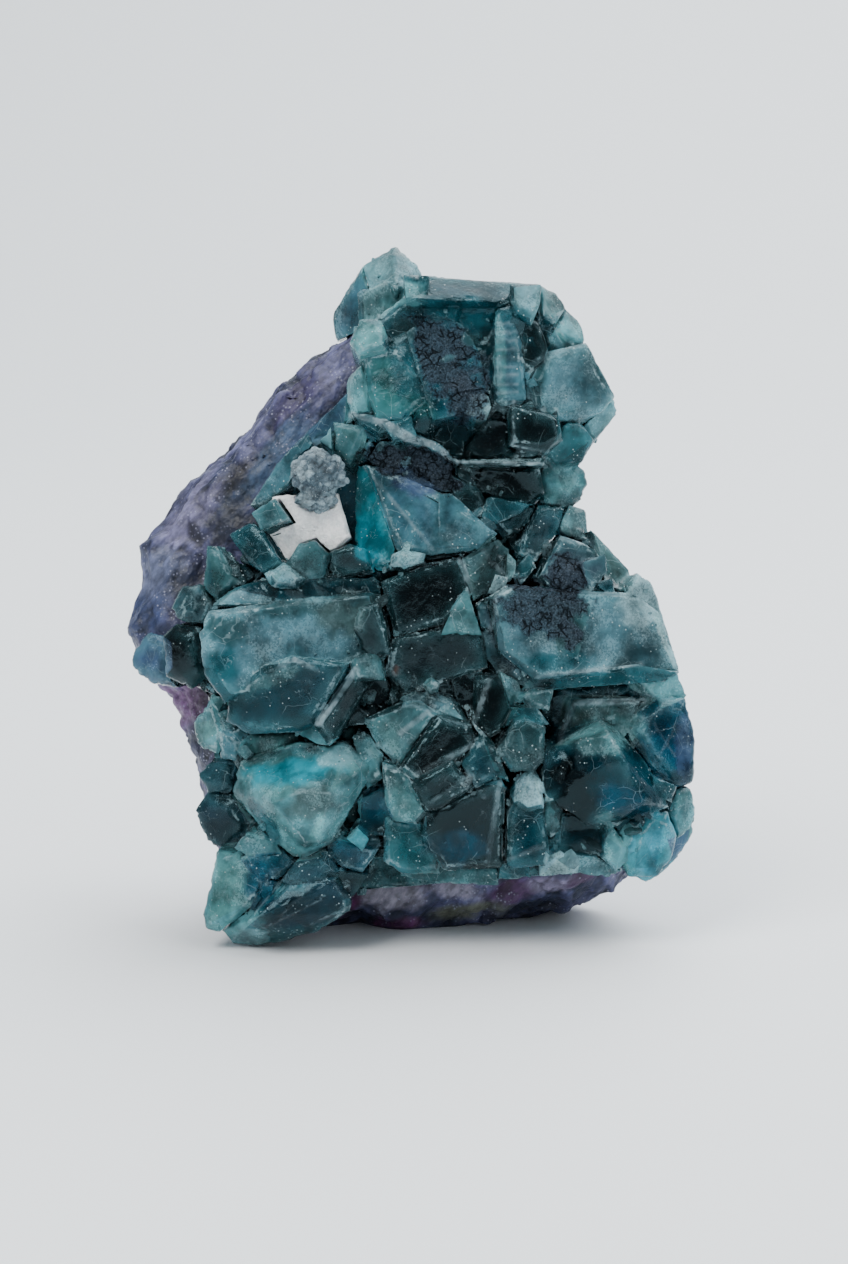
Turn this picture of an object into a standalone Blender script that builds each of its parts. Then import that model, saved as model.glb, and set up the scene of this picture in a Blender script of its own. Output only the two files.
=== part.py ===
"""Fluorite specimen: blue-green crystals on purple massive fluorite, with calcite and a drusy knob.

Everything is designed in the specimen's own face frame, in millimetres: u runs to the right along the
crystal face, v runs up it, and p stands proud of it. The face leans back, and the matrix is cut off flat
underneath. The finished meshes are in metres, +Z up, with the origin at the bottom centre of the whole.
"""

import math
from dataclasses import dataclass

import bmesh
import bpy
import numpy as np
from mathutils import Matrix, Vector, noise

MM = 0.001

# Driving dimensions, in millimetres and degrees.
LEAN = 10.0  # how far the crystal face leans back from upright
GAP = 0.35  # clearance between two nodes that grew against each other
FLOOR_CLEARANCE = 0.5  # the crystals' lowest tip stays this far above the flat cut
ROOT_LEVEL = -8.5  # the roots of proud crystals all end this deep, inside the crust
LEAST_DEPTH = 8.0  # a crystal that lies deep reaches at least this far back from its own front
BACK_TAPER = 0.88  # size of a crystal's root against its front
GROWN_SIDE = 1.6  # a grown crystal moves its corners out by this much more than its sides need
SPREAD = 0.09  # how far the roots draw towards the middle of the face, so that the crystals fan out
FACE_MIDDLE = (2.0, 52.0)
SHARP_EDGE = 0.65  # crystals with a smaller bevel than this are left with sharp edges
TIDY_ANGLE = 1.0  # neighbouring faces flatter than this are made one after the crystals are joined
RELIEF = 1.45  # how strongly the crystals' heights and slopes stand out
WOBBLE = 0.30  # the slight chance tilt that every crystal has on top of its own slope
WOBBLE_PITCH = 9.0
MATRIX_SEGMENTS = 44
MATRIX_DROOP = 0.14  # how much lower the foot of the matrix gets with every millimetre of depth
MATRIX_LUMP = 1.5  # height of the lumps on the massive fluorite
MATRIX_LUMP_PITCH = 7.0
KNOB_ROUGHNESS = 0.35
NOISE_SEED = Vector((3.7, 11.2, 5.1))


@dataclass(frozen=True)
class Crystal:
    """One crystal: its front corners (u, v), how proud it stands, its slope (across, up), its bevel."""

    name: str
    corners: tuple
    proud: float
    slope: tuple = (0.0, 0.0)
    edge: float = 0.8
    ridge: tuple = ()
    loose: float = 1.0


def crust():
    """The broad masses of grown-together fluorite that every crystal roots in."""
    masses = {
        "crown_mass": (-3.0, ((-9, 112), (-2, 115), (22, 110), (30, 101), (31, 91), (24, 84), (-8, 88))),
        "neck_mass": (
            -3.5, ((-9, 97), (24, 86), (28, 77), (27, 68), (-6, 62), (-25, 65), (-26, 74), (-16, 86)),
        ),
        "waist_mass": (-3.0, ((-33, 65), (29, 68), (40, 60), (43, 48), (0, 42), (-32, 41), (-42, 48))),
        "foot_mass": (
            -3.5, ((-34, 43), (44, 46), (47, 36), (47, 21), (38, 13), (0, 13), (-12, 9), (-32, 9)),
        ),
        "toe_mass": (-1.0, ((-33, 16), (-10, 16), (-10, 8), (-27, 3), (-33, 5))),
    }
    return [Crystal(name, corners, proud, loose=0.2) for name, (proud, corners) in masses.items()]


def crown_peak():
    """The frosted point at the very top and the plates that lean on it."""
    return [
        Crystal("peak", ((-2.5, 120.5), (1.5, 117), (2.5, 114.5), (-1, 110), (-4, 107.5), (-6.5, 112.5),
                (-8, 117)), -6, (0, -0.1), 0.8, ridge=((-2.5, 118.5, -5), (-2, 112, -1.5))),
        Crystal("peak_wing", ((-8, 117), (-10.5, 113.5), (-13.5, 109), (-13, 105.5), (-11, 102),
                (-8.5, 104), (-7, 112)), -8.5, (0.45, 0), 1.2),
        Crystal("peak_plate", ((-7, 113), (-8.5, 111), (-8, 107), (-4, 106), (-3.5, 109.5),
                (-5.5, 112)), -3.5),
        Crystal("peak_stub", ((2, 115.5), (5, 115.5), (8.5, 114.5), (8, 111), (2, 111)), -8, (0, -0.3)),
        Crystal("grey_mint_block", ((-8.5, 106.5), (-5, 106.5), (-3.3, 103.5), (-3.5, 101), (-8.5, 100),
                (-10, 102.5)), 4, (0.1, -0.2), 1.0),
    ]


def crown_block():
    """The largest crystal: a sloping roof over a deep window, an etched face and a milky ridge."""
    return [
        Crystal("block", ((-8, 105), (0, 111), (20, 110), (25, 104), (26, 88), (20, 83), (6, 84),
                (-1, 87), (-8, 91)), 1.5, (0, 0), 1.2),
        Crystal("roof", ((-1, 114), (22.3, 112.4), (21.5, 108.5), (14, 109.5), (0, 109.5)), 3.5,
                (0, -0.7)),
        Crystal("roof_green", ((-1, 113.8), (3.5, 113.6), (3.5, 110.6), (-0.5, 109.6)), 4.5, (0, -0.5),
                0.6),
        Crystal("etched_face", ((-0.5, 104), (4, 107.5), (9, 105.5), (11.5, 101.5), (13.5, 94.5),
                (9, 90), (4, 89)), 4.6, (0.02, -0.03), 0.6),
        Crystal("etched_step", ((6, 97), (6.7, 93.3), (13.3, 94.5), (12, 100.5), (8, 99)), 5.6,
                (0.02, -0.03), 0.4),
        Crystal("green_face", ((-7.5, 100.5), (-2, 101.5), (0.5, 99), (3, 92.5), (-1, 89), (-5.5, 89.5),
                (-7, 94)), 4.2, (0.12, 0), 0.8),
        Crystal("mint_flank", ((-8, 99), (-10.5, 96), (-10.5, 93), (-9.5, 90), (-6.5, 90), (-7, 95)),
                2.5, (0.5, 0)),
        Crystal("bead", ((10, 93.3), (13, 93.6), (14, 91.6), (13, 88.9), (11, 88), (9.2, 90)), 7.2,
                (0, 0.05), 1.3),
        Crystal("drape", ((17, 112), (22.5, 112), (22, 108.5), (20.5, 105), (18, 107), (17, 109)), 6.2,
                (0, -0.35), 0.7),
        Crystal("milky_ridge", ((14.5, 107.5), (17.5, 108.5), (19, 102), (19.7, 92.5), (14.5, 92.3)),
                6.0, (-0.15, 0)),
        Crystal("dark_window", ((18.5, 107), (22, 105.5), (23.5, 101), (23, 99.5), (20.5, 97),
                (18.5, 98)), 5.3, (0.05, 0), 0.7),
        Crystal("smoky_block", ((9, 84.5), (11, 82.5), (22, 82.5), (26, 86), (25, 91), (14, 92),
                (13, 88)), 3.4, (0, 0.1)),
        Crystal("smoky_cube", ((16.5, 92), (25, 90), (26, 86), (23, 83.8), (16.8, 85)), 6.0,
                (-0.1, 0.1), 0.9),
    ]


def crown_right():
    """The blue-grey shoulder of the crown and the mint bars on its edge."""
    return [
        Crystal("blue_corner", ((22.3, 112.3), (25, 111), (26.7, 108.5), (24.5, 105.5), (22, 106)), 2.5,
                (-0.4, -0.2)),
        Crystal("pale_corner", ((26.5, 108.5), (29.3, 106), (30, 102.3), (26.5, 101.3), (24.5, 104.5)),
                1.5, (-0.4, -0.2)),
        Crystal("shoulder", ((23, 100.7), (30, 102.5), (31.5, 98.5), (35, 93.5), (33, 91), (27.5, 89),
                (22, 89), (20.5, 96)), 3.2, (-0.28, -0.05), 1.1),
        Crystal("edge_bar", ((35, 93.3), (35.6, 91), (31.6, 85.8), (29.5, 88.8)), -0.5, (-0.2, 0.2),
                0.7),
        Crystal("low_block", ((26, 89), (29.5, 89), (31.5, 86), (29.5, 82.5), (25, 81.5), (23, 83.5)),
                2.4, (-0.2, 0.1)),
        Crystal("upper_bead", ((21.5, 80), (23.5, 82), (27.5, 82.4), (30, 81.3), (30.6, 78.7),
                (29.6, 76.3), (25.7, 75), (22.6, 77)), 0.5, (-0.15, 0), 2.0),
        Crystal("lower_bead", ((25.2, 71.3), (27.3, 75.2), (30, 74.4), (30.7, 72.4), (30.8, 70),
                (28, 69)), 0, (-0.2, 0.1), 1.5),
        Crystal("teal_link", ((19, 69.5), (22, 75), (26.5, 75), (25, 70), (21.5, 65.5), (18.7, 67)),
                2.6, (-0.25, 0)),
    ]


def neck():
    """The druse ledge under the crown and the tall blue-lit crystal below it."""
    return [
        Crystal("druse_ledge_left", ((-9.5, 90.5), (-5, 90), (-3.5, 87.5), (-5, 87), (-8.5, 89)), 4,
                (0, 0), 0.5),
        Crystal("druse_ledge_mid", ((-4.5, 88.5), (0.5, 90), (1.3, 86.5), (-2.5, 85.8)), 5.2, (0, 0),
                0.5),
        Crystal("druse_ledge_right", ((1, 87), (5, 85.4), (8.3, 82.2), (6, 82.6), (2.5, 85)), 4.6,
                (0, 0), 0.4),
        Crystal("druse_shelf", ((8, 82.7), (15, 82.2), (23, 82.8), (22.5, 81.5), (10, 81.2)), 4.8,
                (0, 0), 0.3),
        Crystal("etched_wedge", ((-7, 83), (-5, 86), (3.5, 85.5), (7.3, 82), (7, 77), (1, 78),
                (-2, 78)), 2.2, (0, 0.15)),
        Crystal("etched_bead", ((-1.6, 82), (-0.8, 83.4), (0.6, 83), (0.6, 81.6), (-0.6, 81)), 4.2,
                (0, 0), 0.6),
        Crystal("dark_steps", ((7.5, 82), (22, 81.5), (23, 77), (21, 75), (13, 76.5), (7.5, 79)), 1.8,
                (0, 0.2), 0.7),
        Crystal("dark_step_low", ((7, 80), (11.5, 78), (13, 76.5), (12.8, 74), (10.5, 72.3), (7.5, 75)),
                4.0, (0.05, 0.1)),
        Crystal("blue_lit", ((-7.5, 82), (-4.5, 81.3), (5, 77.2), (10, 73), (15, 70), (11.5, 67.2),
                (3, 66.3), (-2.2, 67.5)), 5.4, (0, 0.03), 0.9),
        Crystal("blue_lit_step", ((5, 77), (7, 77), (10, 73.5), (14.5, 70), (11.5, 67.7), (5, 67.2)),
                6.0, (0.05, 0.03), 0.5),
        Crystal("blue_side", ((-9, 81.5), (-7.3, 82), (-2.3, 67.5), (-3.3, 64.5), (-5.5, 64.3),
                (-7, 67.5), (-9.3, 69)), 2.4, (0.55, 0), 0.6),
        Crystal("white_foot", ((-3, 66.5), (-1, 67.5), (3, 66.7), (2.5, 65.3), (-0.7, 64), (-3, 64.7)),
                6.8, (0, 0.2), 1.0),
        Crystal("notch_pale", ((13.2, 76.5), (20.5, 75), (19, 73.5), (14, 71.5), (12.3, 73)), 4.6,
                (0.1, 0.1), 0.6),
        Crystal("notch_dark", ((16, 75), (21.3, 74.5), (20, 72), (17, 70), (15, 72)), 3.6, (-0.1, 0.2),
                0.6),
        Crystal("green_wedge", ((-13, 89.3), (-7.5, 88.3), (-8.3, 85), (-10, 82), (-12.5, 84)), 2.2,
                (0.05, 0)),
        Crystal("pale_splint", ((-15.2, 86), (-13.2, 88.3), (-13, 84.3)), 2.0, (0, 0), 0.4),
    ]


def pocket():
    """The small crystals that frame the calcite patch on its left and below it."""
    return [
        Crystal("long_blade", ((-27, 75), (-22.5, 82), (-17, 87.3), (-16.3, 85.5), (-20.5, 78.5),
                (-25, 75)), 2.2, (0.2, -0.1), 0.6),
        Crystal("flank_glass", ((-26.5, 77.5), (-21, 84.5), (-14, 91), (-9.7, 95), (-9.7, 90),
                (-15, 86), (-20, 81)), -1.6, (0.3, -0.2), 1.1),
        Crystal("grey_chip", ((-26.5, 73.5), (-22.5, 76.2), (-20, 72.5), (-25, 70.8)), 5.4, (0.1, 0.05),
                0.5),
        Crystal("teal_slab", ((-30.5, 70), (-26.5, 72.3), (-24.3, 70.3), (-21.2, 65.2), (-24.2, 63),
                (-27, 65)), 3.8, (0.15, 0.05), 0.7),
        Crystal("mint_drop", ((-24.2, 63.3), (-21, 65.3), (-17.5, 62.5), (-18.5, 60.7), (-23, 61)), 6.8,
                (0.05, 0.1), 1.0),
        Crystal("low_chip_left", ((-20.7, 65), (-18.5, 68.5), (-16, 69.3), (-13.3, 66.6), (-14, 62.7),
                (-17.5, 62.3)), 5.6, (0.05, 0.1), 0.8),
        Crystal("low_chip_right", ((-13.5, 67), (-10, 68.5), (-6.8, 67.5), (-6, 64), (-13, 62.7)), 4.8,
                (0, 0.1), 0.8),
        Crystal("streaked_flank", ((-34, 70), (-28.7, 79.3), (-27.5, 75), (-30.5, 69)), -1.0, (0.2, 0),
                0.6),
        Crystal("teal_column", ((-34.3, 68.3), (-32.5, 68.3), (-28.5, 62), (-30.5, 60), (-33, 58.8),
                (-35, 61)), 2.4, (0.25, 0), 1.0),
    ]


def left_edge():
    """Rounded grey, black and navy crystals along the left edge, below the purple band."""
    return [
        Crystal("grey_ball", ((-40.5, 57.5), (-38.5, 61.5), (-35.5, 61.8), (-34, 58.5), (-35.5, 55),
                (-39, 55.3)), 2.0, (0.25, -0.05), 1.7),
        Crystal("black_ball", ((-42, 53), (-39.5, 55), (-36, 54.5), (-34.8, 51), (-34.3, 46),
                (-37, 43.8), (-41.5, 46)), 1.6, (0.3, 0.1), 1.6),
        Crystal("slate_blue", ((-48, 49.5), (-45, 53.5), (-41, 52.5), (-39.5, 44), (-44, 44.5),
                (-47.5, 47)), -3.2, (0.4, 0.1), 1.4),
        Crystal("glassy_tip", ((-49, 53), (-48, 56.5), (-45.5, 55.5), (-45, 52), (-47.5, 50.5)), -6.5,
                (0.4, 0), 1.0),
        Crystal("pale_chunk", ((-33.7, 42.3), (-37, 38), (-36.3, 34), (-32.5, 32.5), (-31, 36),
                (-32.3, 40)), 0, (0.35, 0), 1.2),
        Crystal("lilac_block", ((-32.5, 37), (-30, 36.5), (-28.6, 35), (-29, 31.5), (-32, 32)), 1.4,
                (0.2, 0), 0.7),
        Crystal("navy_upper", ((-36.3, 29), (-34.5, 31), (-29, 31.8), (-29.5, 26), (-34.5, 26)), -0.5,
                (0.3, 0), 1.5),
        Crystal("navy_lower", ((-36.9, 22.8), (-34.5, 26), (-30, 25.5), (-27, 21), (-27.5, 19),
                (-31, 16.5), (-34.3, 17.3)), -0.5, (0.3, 0.05), 1.3),
    ]


def left_centre():
    """The long milky slab, the slab under it with its bright bevel, and the dark cube beside them."""
    return [
        Crystal("long_slab", ((-35, 53.5), (-33.5, 57), (-16, 59.5), (-5, 60.5), (-3, 53), (-3.5, 49.3),
                (-18, 49), (-31, 41.7), (-34.5, 47)), 6.5, (0.04, -0.05), 1.5),
        Crystal("slab_top", ((-33, 58), (-30, 60.7), (-25, 62.6), (-5, 62.6), (-5, 58.5), (-18, 57.5)),
                4.0, (0, -0.6)),
        Crystal("slab_corner", ((-8.5, 57.7), (-5, 58.7), (-3.8, 55), (-3, 49.7), (-7.5, 50),
                (-9.3, 54)), 8.4, (-0.08, 0.04)),
        Crystal("second_slab", ((-30, 42.5), (-24.5, 48), (-19.5, 49.6), (-9.8, 48.4), (-15.8, 38),
                (-18, 36.8), (-27, 36.5), (-31, 38.5)), 8.4, (0.05, 0.12), 1.0),
        Crystal("second_slab_side", ((-9, 48.3), (-6.5, 45), (-9.5, 42), (-11.5, 36), (-13.3, 34.3),
                (-15.8, 38)), 7.6, (-0.4, 0.1), 1.0),
        Crystal("second_slab_lip", ((-22, 38.5), (-15.8, 38.6), (-13.3, 34.3), (-16, 35)), 7.2,
                (0, 0.6), 0.4),
        Crystal("frost_cap", ((-10, 48.7), (-6.5, 50.5), (-4.5, 49), (-4, 45.3), (-9, 45.3)), 7.8,
                (-0.1, 0.15), 0.9),
        Crystal("black_facet", ((-9, 46), (-4, 46), (-2, 40), (-6, 38), (-11, 37.5)), 2.6, (0, 0.3),
                0.6),
        Crystal("dark_cube", ((-4.7, 62), (3, 65), (8.7, 66.3), (10.7, 60), (6.5, 55), (-2.4, 52.7)),
                5.4, (0, 0.08), 0.9),
        Crystal("clear_cube", ((9, 66), (15, 69.3), (17, 67.5), (16, 63), (11, 58.8), (10, 62)), 4.6,
                (-0.3, 0.05), 0.8),
        Crystal("mint_wedge", ((9.7, 61), (12.3, 53), (8, 55), (5.3, 53), (7, 57)), 6.9, (0.05, 0.1),
                0.5),
        Crystal("grey_block", ((-2.8, 52.5), (8, 55), (12.5, 53), (13.5, 47.5), (8, 47.5), (-1, 43),
                (-4, 47)), 4.6, (0, 0.15), 0.8),
        Crystal("tiny_knob", ((2.6, 44.6), (3.8, 46), (5.2, 45), (5, 43.3), (3.4, 43)), 6.0, (0, 0),
                0.7),
        Crystal("splinter_low", ((13.2, 60), (14.5, 63.2), (16.5, 62.5), (16, 60)), 6.6, (0.1, 0), 0.4),
        Crystal("splinter_high", ((16.5, 67), (18, 65.5), (17.8, 63), (16.2, 61.5)), 5.8, (0.2, 0),
                0.4),
        Crystal("pit_crystal", ((18, 64.5), (20.3, 67), (21.5, 64.5), (18.7, 61.3)), 4.4, (-0.2, 0.1),
                0.5),
    ]


def right_face():
    """The big etched face on the right with its teal bevel, and the grey crystals on its upper rim."""
    return [
        Crystal("great_face", ((13, 59.3), (16.4, 61.5), (31, 60.3), (38, 60), (42, 57), (45.8, 46.8),
                (38.5, 47.8), (21, 45.5), (15, 50)), 6.4, (-0.05, 0.02), 1.0),
        Crystal("great_bevel", ((11.3, 58.5), (13.3, 59.5), (15.5, 50), (21, 45.3), (20.5, 44),
                (15, 46.3), (12.7, 50)), 4.4, (0.4, 0.2), 0.5),
        Crystal("great_sill", ((20.5, 45.8), (38.5, 48), (45.5, 46.8), (43, 45.2), (30, 44.6),
                (21, 43.6)), 4.8, (0, 0.6), 0.5),
        Crystal("great_etched", ((13.8, 58), (16.5, 60.8), (24, 58.2), (30.5, 58.3), (29, 54),
                (28.3, 49), (20, 50), (15.5, 52)), 7.2, (-0.05, 0.02), 0.35),
        Crystal("mint_fin", ((36.5, 61.5), (38.5, 63.6), (41, 62), (42, 57), (46, 46.5), (43.5, 48.5),
                (38, 57)), 3.4, (-0.4, 0), 0.8),
        Crystal("slate_crystal", ((22, 63), (25.5, 70), (31.5, 67.7), (33.5, 64.5), (31, 60),
                (26.5, 58)), 5.2, (-0.2, -0.1)),
        Crystal("slate_chip", ((28.5, 65), (33, 66.7), (33.7, 64), (30.5, 60.3)), 5.7, (-0.2, -0.1),
                0.5),
        Crystal("teal_chip", ((31, 61.8), (34.3, 62.5), (34.7, 59)), 5.2, (-0.2, 0), 0.4),
        Crystal("olive_rim", ((31, 71), (34.5, 67.2), (37.7, 63.7), (36.5, 60), (34, 60), (32, 66)),
                1.4, (-0.3, -0.1), 0.7),
        Crystal("hip", ((38, 46.3), (45.6, 46.7), (47.6, 42.3), (44, 41), (40, 43)), 1.0, (-0.3, 0.1),
                0.9),
    ]


def right_foot():
    """The recess under the big face, the octahedral crystal before it, and the blue crystals beside it."""
    return [
        Crystal("recess_crystal", ((27.5, 42.3), (39.3, 42.2), (37, 36), (26.5, 34)), 1.4, (0, 0.25),
                1.1),
        Crystal("octahedron", ((23.5, 34), (32.5, 39), (35.5, 37), (40, 31.5), (44, 24), (41, 23.3),
                (34, 21), (30, 21), (23, 26)), 4.2, (0, 0), 0.8, ridge=((33.5, 36.3, 7.5),
                (35.5, 33, 8.2), (39.5, 25.5, 8))),
        Crystal("blue_heart", ((37.7, 37), (38.5, 40), (42, 42.3), (47, 42.3), (48.7, 36), (48.5, 28),
                (45.5, 27), (41, 31)), 2.4, (-0.3, 0), 1.5),
        Crystal("grey_tab", ((41, 29.3), (45.3, 27.5), (44.5, 24.6), (41.2, 26.3)), 4.2, (-0.3, 0),
                0.5),
        Crystal("turquoise_foot", ((38, 20.7), (41, 23.7), (43.8, 23.2), (45.4, 19), (44.7, 15.5),
                (42, 12), (37, 12.2), (36.5, 16)), 3.8, (-0.22, 0.2), 1.5),
        Crystal("mint_rim", ((45, 27.2), (48, 26.8), (49, 23), (48, 19.8), (45.5, 18.3), (44, 23)), 0.4,
                (-0.3, 0), 0.9),
        Crystal("fringe", ((49, 22.3), (48.6, 18.5), (46.5, 15.3), (43, 12), (40.5, 10.8), (38.5, 11.8),
                (44, 17)), -2, (-0.2, 0.2), 0.8),
        Crystal("navy_step", ((25.5, 23.5), (33, 21.7), (34, 20), (32.5, 15.5), (27, 15.5), (24.3, 18)),
                2.8, (0, 0.15)),
        Crystal("pale_scale", ((32.5, 20), (34, 21.2), (36.8, 17.5), (37, 15), (35, 13.2),
                (32.5, 15.3)), 4.4, (0.05, 0.1)),
        Crystal("lip_right", ((28, 16), (31, 15.7), (36, 13), (34, 11.8), (28.5, 12.8)), 2.6, (0, 0.3),
                0.5),
        Crystal("lip_mid", ((22, 14.7), (25.5, 16.8), (28.7, 15.2), (28.5, 12.8), (22, 12.2)), 3.6,
                (0, 0.2), 0.7),
        Crystal("lip_left", ((15.5, 14.3), (20.3, 14.5), (20.7, 12), (15, 11.5)), 3.2, (0, 0.3), 0.5),
    ]


def centre_foot():
    """The stepped dark cubes, the textured hexagonal face and the tall crystals at the bottom centre."""
    return [
        Crystal("hexagon_face", ((17.3, 39), (19.5, 39.8), (23, 37.7), (22.7, 32), (20.7, 30),
                (17, 30.2), (14.8, 34)), 8.0, (0, 0.04), 0.8),
        Crystal("hexagon_rim", ((15.3, 37.5), (17.3, 41), (21.5, 40.8), (23.7, 38), (20, 38)), 6.2,
                (0, -0.3), 0.7),
        Crystal("druse_saddle", ((18.3, 42.8), (21, 44.2), (24.5, 44.3), (23.7, 40.2), (20.5, 40.8)),
                5.6, (0, 0.1), 0.7),
        Crystal("barred_crystal", ((11, 46.5), (16, 46.3), (18, 41), (15.5, 36.5), (13.3, 35.5),
                (10.6, 38)), 4.6, (0.1, 0), 1.0),
        Crystal("deep_blue_cleft", ((6.5, 47.8), (12.5, 47), (11.5, 40), (10, 38.5), (8, 42)), 2.4,
                (-0.1, 0.1), 0.6),
        Crystal("mint_lip", ((15.3, 47), (18.3, 45.5), (19, 43), (17, 40.3), (16.2, 43)), 5.4,
                (-0.3, 0), 0.7),
        Crystal("upper_cube", ((5, 39.8), (10.3, 38.3), (11.5, 35), (7, 31), (1.5, 28), (-1.8, 30.7)),
                7.2, (0, 0.1), 0.9),
        Crystal("lower_cube", ((0.4, 28), (2, 29.6), (7.2, 32.2), (10.8, 27.7), (5, 23.8), (2.8, 23.7)),
                8.6, (0, 0.06), 0.9),
        Crystal("side_cube", ((8.8, 31.5), (11.3, 35.6), (12.6, 36.4), (15.4, 30), (14, 28.7),
                (11, 27.5)), 8.0, (-0.1, 0), 0.9),
        Crystal("silver_spear", ((10.6, 38.6), (14, 35.4), (15.7, 31), (17, 28.3), (14.5, 29.5)), 6.2,
                (-0.2, 0), 0.6),
        Crystal("jade_shard", ((-7.6, 39), (-3, 40), (-1, 42), (2, 42), (5, 39.8), (-1.8, 30.7),
                (-5, 34)), 6.4, (0.05, 0.1), 0.9),
        Crystal("jade_cap", ((-2.8, 42.6), (1, 43.7), (5, 43.2), (8.5, 41.5), (10, 38.3), (5, 39.6)),
                5.2, (0, -0.2), 0.8),
        Crystal("mint_shard", ((-4.5, 31.7), (-2, 31), (0.3, 29), (0.5, 26.5), (3.3, 23.2), (1.5, 21.3),
                (-3, 22), (-4, 25)), 7.4, (0.03, 0.05), 0.7),
        Crystal("mint_spur", ((-9.5, 36), (-7, 35.7), (-4.5, 32), (-4.3, 29), (-7, 27), (-7.2, 31)),
                5.6, (0.1, 0), 0.9),
        Crystal("deep_wedge", ((-8.8, 25.2), (-4, 27.7), (-3.3, 22.7), (-4.5, 19.2), (-8, 20.3)), 3.6,
                (0.05, 0.05), 0.6),
        Crystal("opal_wedge", ((-4, 22.3), (1.7, 21.5), (2, 19), (5.4, 15.8), (5.3, 12.8), (-1, 12.8),
                (-4.3, 15)), 5.0, (0, 0.12), 0.8),
        Crystal("tall_crystal", ((3, 23.5), (11, 27.8), (15.5, 29), (16.3, 27.3), (15.8, 13.8),
                (6, 13.3), (1.8, 19.5)), 6.4, (-0.04, 0.04), 1.0),
        Crystal("tall_neighbour", ((16.5, 13.8), (16.5, 23), (19, 27.7), (22.5, 25), (23.8, 16),
                (23, 14.2)), 6.0, (-0.15, 0)),
        Crystal("white_tip", ((17.5, 25), (19.7, 29.5), (21, 30.2), (22.3, 29), (22.7, 24),
                (19.5, 23.3)), 7.2, (-0.1, -0.25)),
        Crystal("frost_knot", ((22.6, 25), (24.5, 25.6), (26, 23.5), (25.5, 20.3), (23.8, 18.8),
                (22.6, 21)), 5.6, (0, 0), 1.2),
        Crystal("bottom_lip", ((-1.5, 14), (6, 13.7), (15, 13.6), (15.2, 10.6), (8, 10.9),
                (-1.5, 12.2)), 2.4, (0, 0.2), 0.6),
    ]


def left_foot():
    """The turquoise crystal with its three faces, and the spire and keel it stands on."""
    return [
        Crystal("turquoise", ((-29, 31.5), (-20, 34.3), (-10.3, 34.3), (-6.7, 31), (-7, 28.5),
                (-13, 18), (-18, 15.5), (-21.5, 17), (-30, 26)), 5.0, (0, 0), 1.2,
                ridge=((-22.5, 25, 8.6), (-18, 27, 9.4), (-13, 26.8, 9.4), (-14.8, 18.6, 8),
                (-17.2, 18.4, 8))),
        Crystal("spire", ((-32.5, 16.5), (-28, 16), (-23.5, 12), (-26.5, 7), (-32, 2.7), (-34.7, 3.2),
                (-35, 5)), 3.2, (0.25, 0.1), 1.0),
        Crystal("keel", ((-32, 2.7), (-26, 7.5), (-20, 12), (-12, 12.5), (-9.7, 9), (-10, 6.5),
                (-16, 2.5), (-26, -0.2), (-30.5, 0.7)), 3.4, (0, 0.3), 0.8, ridge=((-25, 6, 6.2),
                (-14, 9.4, 6.4))),
        Crystal("keel_top", ((-28.5, 15.5), (-26, 16.7), (-21.5, 17), (-18.5, 15.3), (-21.5, 12),
                (-26, 12)), 4.2, (0, 0)),
        Crystal("keel_blue", ((-21.5, 11.5), (-19, 15), (-14, 16), (-12, 13), (-15.5, 10.3)), 6.2,
                (0.05, 0.1), 0.8),
        Crystal("frosty_chips", ((-29.7, 17.3), (-27.5, 19.5), (-23, 18.2), (-21.5, 16.3), (-26, 15.3)),
                5.0, (0, 0), 0.7),
        Crystal("green_chip", ((-14, 11.5), (-11.5, 13.6), (-6.7, 12.8), (-9.4, 9)), 5.0, (0, 0.2),
                0.6),
        Crystal("blue_chip", ((-13.8, 17), (-12.3, 19), (-5, 17), (-7.7, 13), (-11.5, 14)), 5.8,
                (0, 0.15), 0.7),
        Crystal("pale_chip", ((-10.5, 19), (-8.5, 20.8), (-6.6, 19), (-7.7, 16.7)), 6.9, (0, 0.05),
                0.6),
    ]


def place(u, v, p):
    """Turns a point of the face frame, in millimetres, into world metres."""
    lean = math.radians(LEAN)
    x = u
    y = v * math.sin(lean) - p * math.cos(lean)
    z = v * math.cos(lean) + p * math.sin(lean)
    return Vector((x, y, z)) * MM


def crystal_points(crystal, grown=0.0):
    """Every corner of a crystal: the inset front, the outline behind its bevel, the root and any ridge.

    With grown, the same crystal is that much larger on every side, to cut the room that it needs.
    """
    outline = np.array(crystal.corners, float)
    centre = outline.mean(axis=0)
    inward = centre - outline
    inward /= np.linalg.norm(inward, axis=1)[:, None]
    outline -= inward * grown * GROWN_SIDE
    spot = Vector((*centre, crystal.proud)) / WOBBLE_PITCH + NOISE_SEED
    chance = np.array([noise.noise(spot), noise.noise(spot + NOISE_SEED)])
    slope = (np.array(crystal.slope) + chance * WOBBLE * crystal.loose) * RELIEF
    height = crystal.proud * RELIEF + grown
    root_level = min(ROOT_LEVEL, height - LEAST_DEPTH)
    root_centre = centre + (np.array(FACE_MIDDLE) - centre) * SPREAD
    points = []
    for corner, inset in zip(outline, inward, strict=True):
        root = root_centre + (corner - centre) * BACK_TAPER
        rise = height + float(np.dot(corner - centre, slope))
        if crystal.edge < SHARP_EDGE:
            points.append(place(*corner, rise))
        else:
            points.append(place(*(corner + inset * crystal.edge * 1.25), rise))
            points.append(place(*corner, rise - crystal.edge))
        points.append(place(*root, root_level))
    points.extend(place(u, v, p * RELIEF) for u, v, p in crystal.ridge)
    return points


def mesh_object(name, shape):
    """Wraps a bmesh in a new object in the scene, and frees it."""
    mesh = bpy.data.meshes.new(name)
    bmesh.ops.recalc_face_normals(shape, faces=shape.faces)
    shape.to_mesh(mesh)
    shape.free()
    made = bpy.data.objects.new(name, mesh)
    bpy.context.scene.collection.objects.link(made)
    return made


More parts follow.
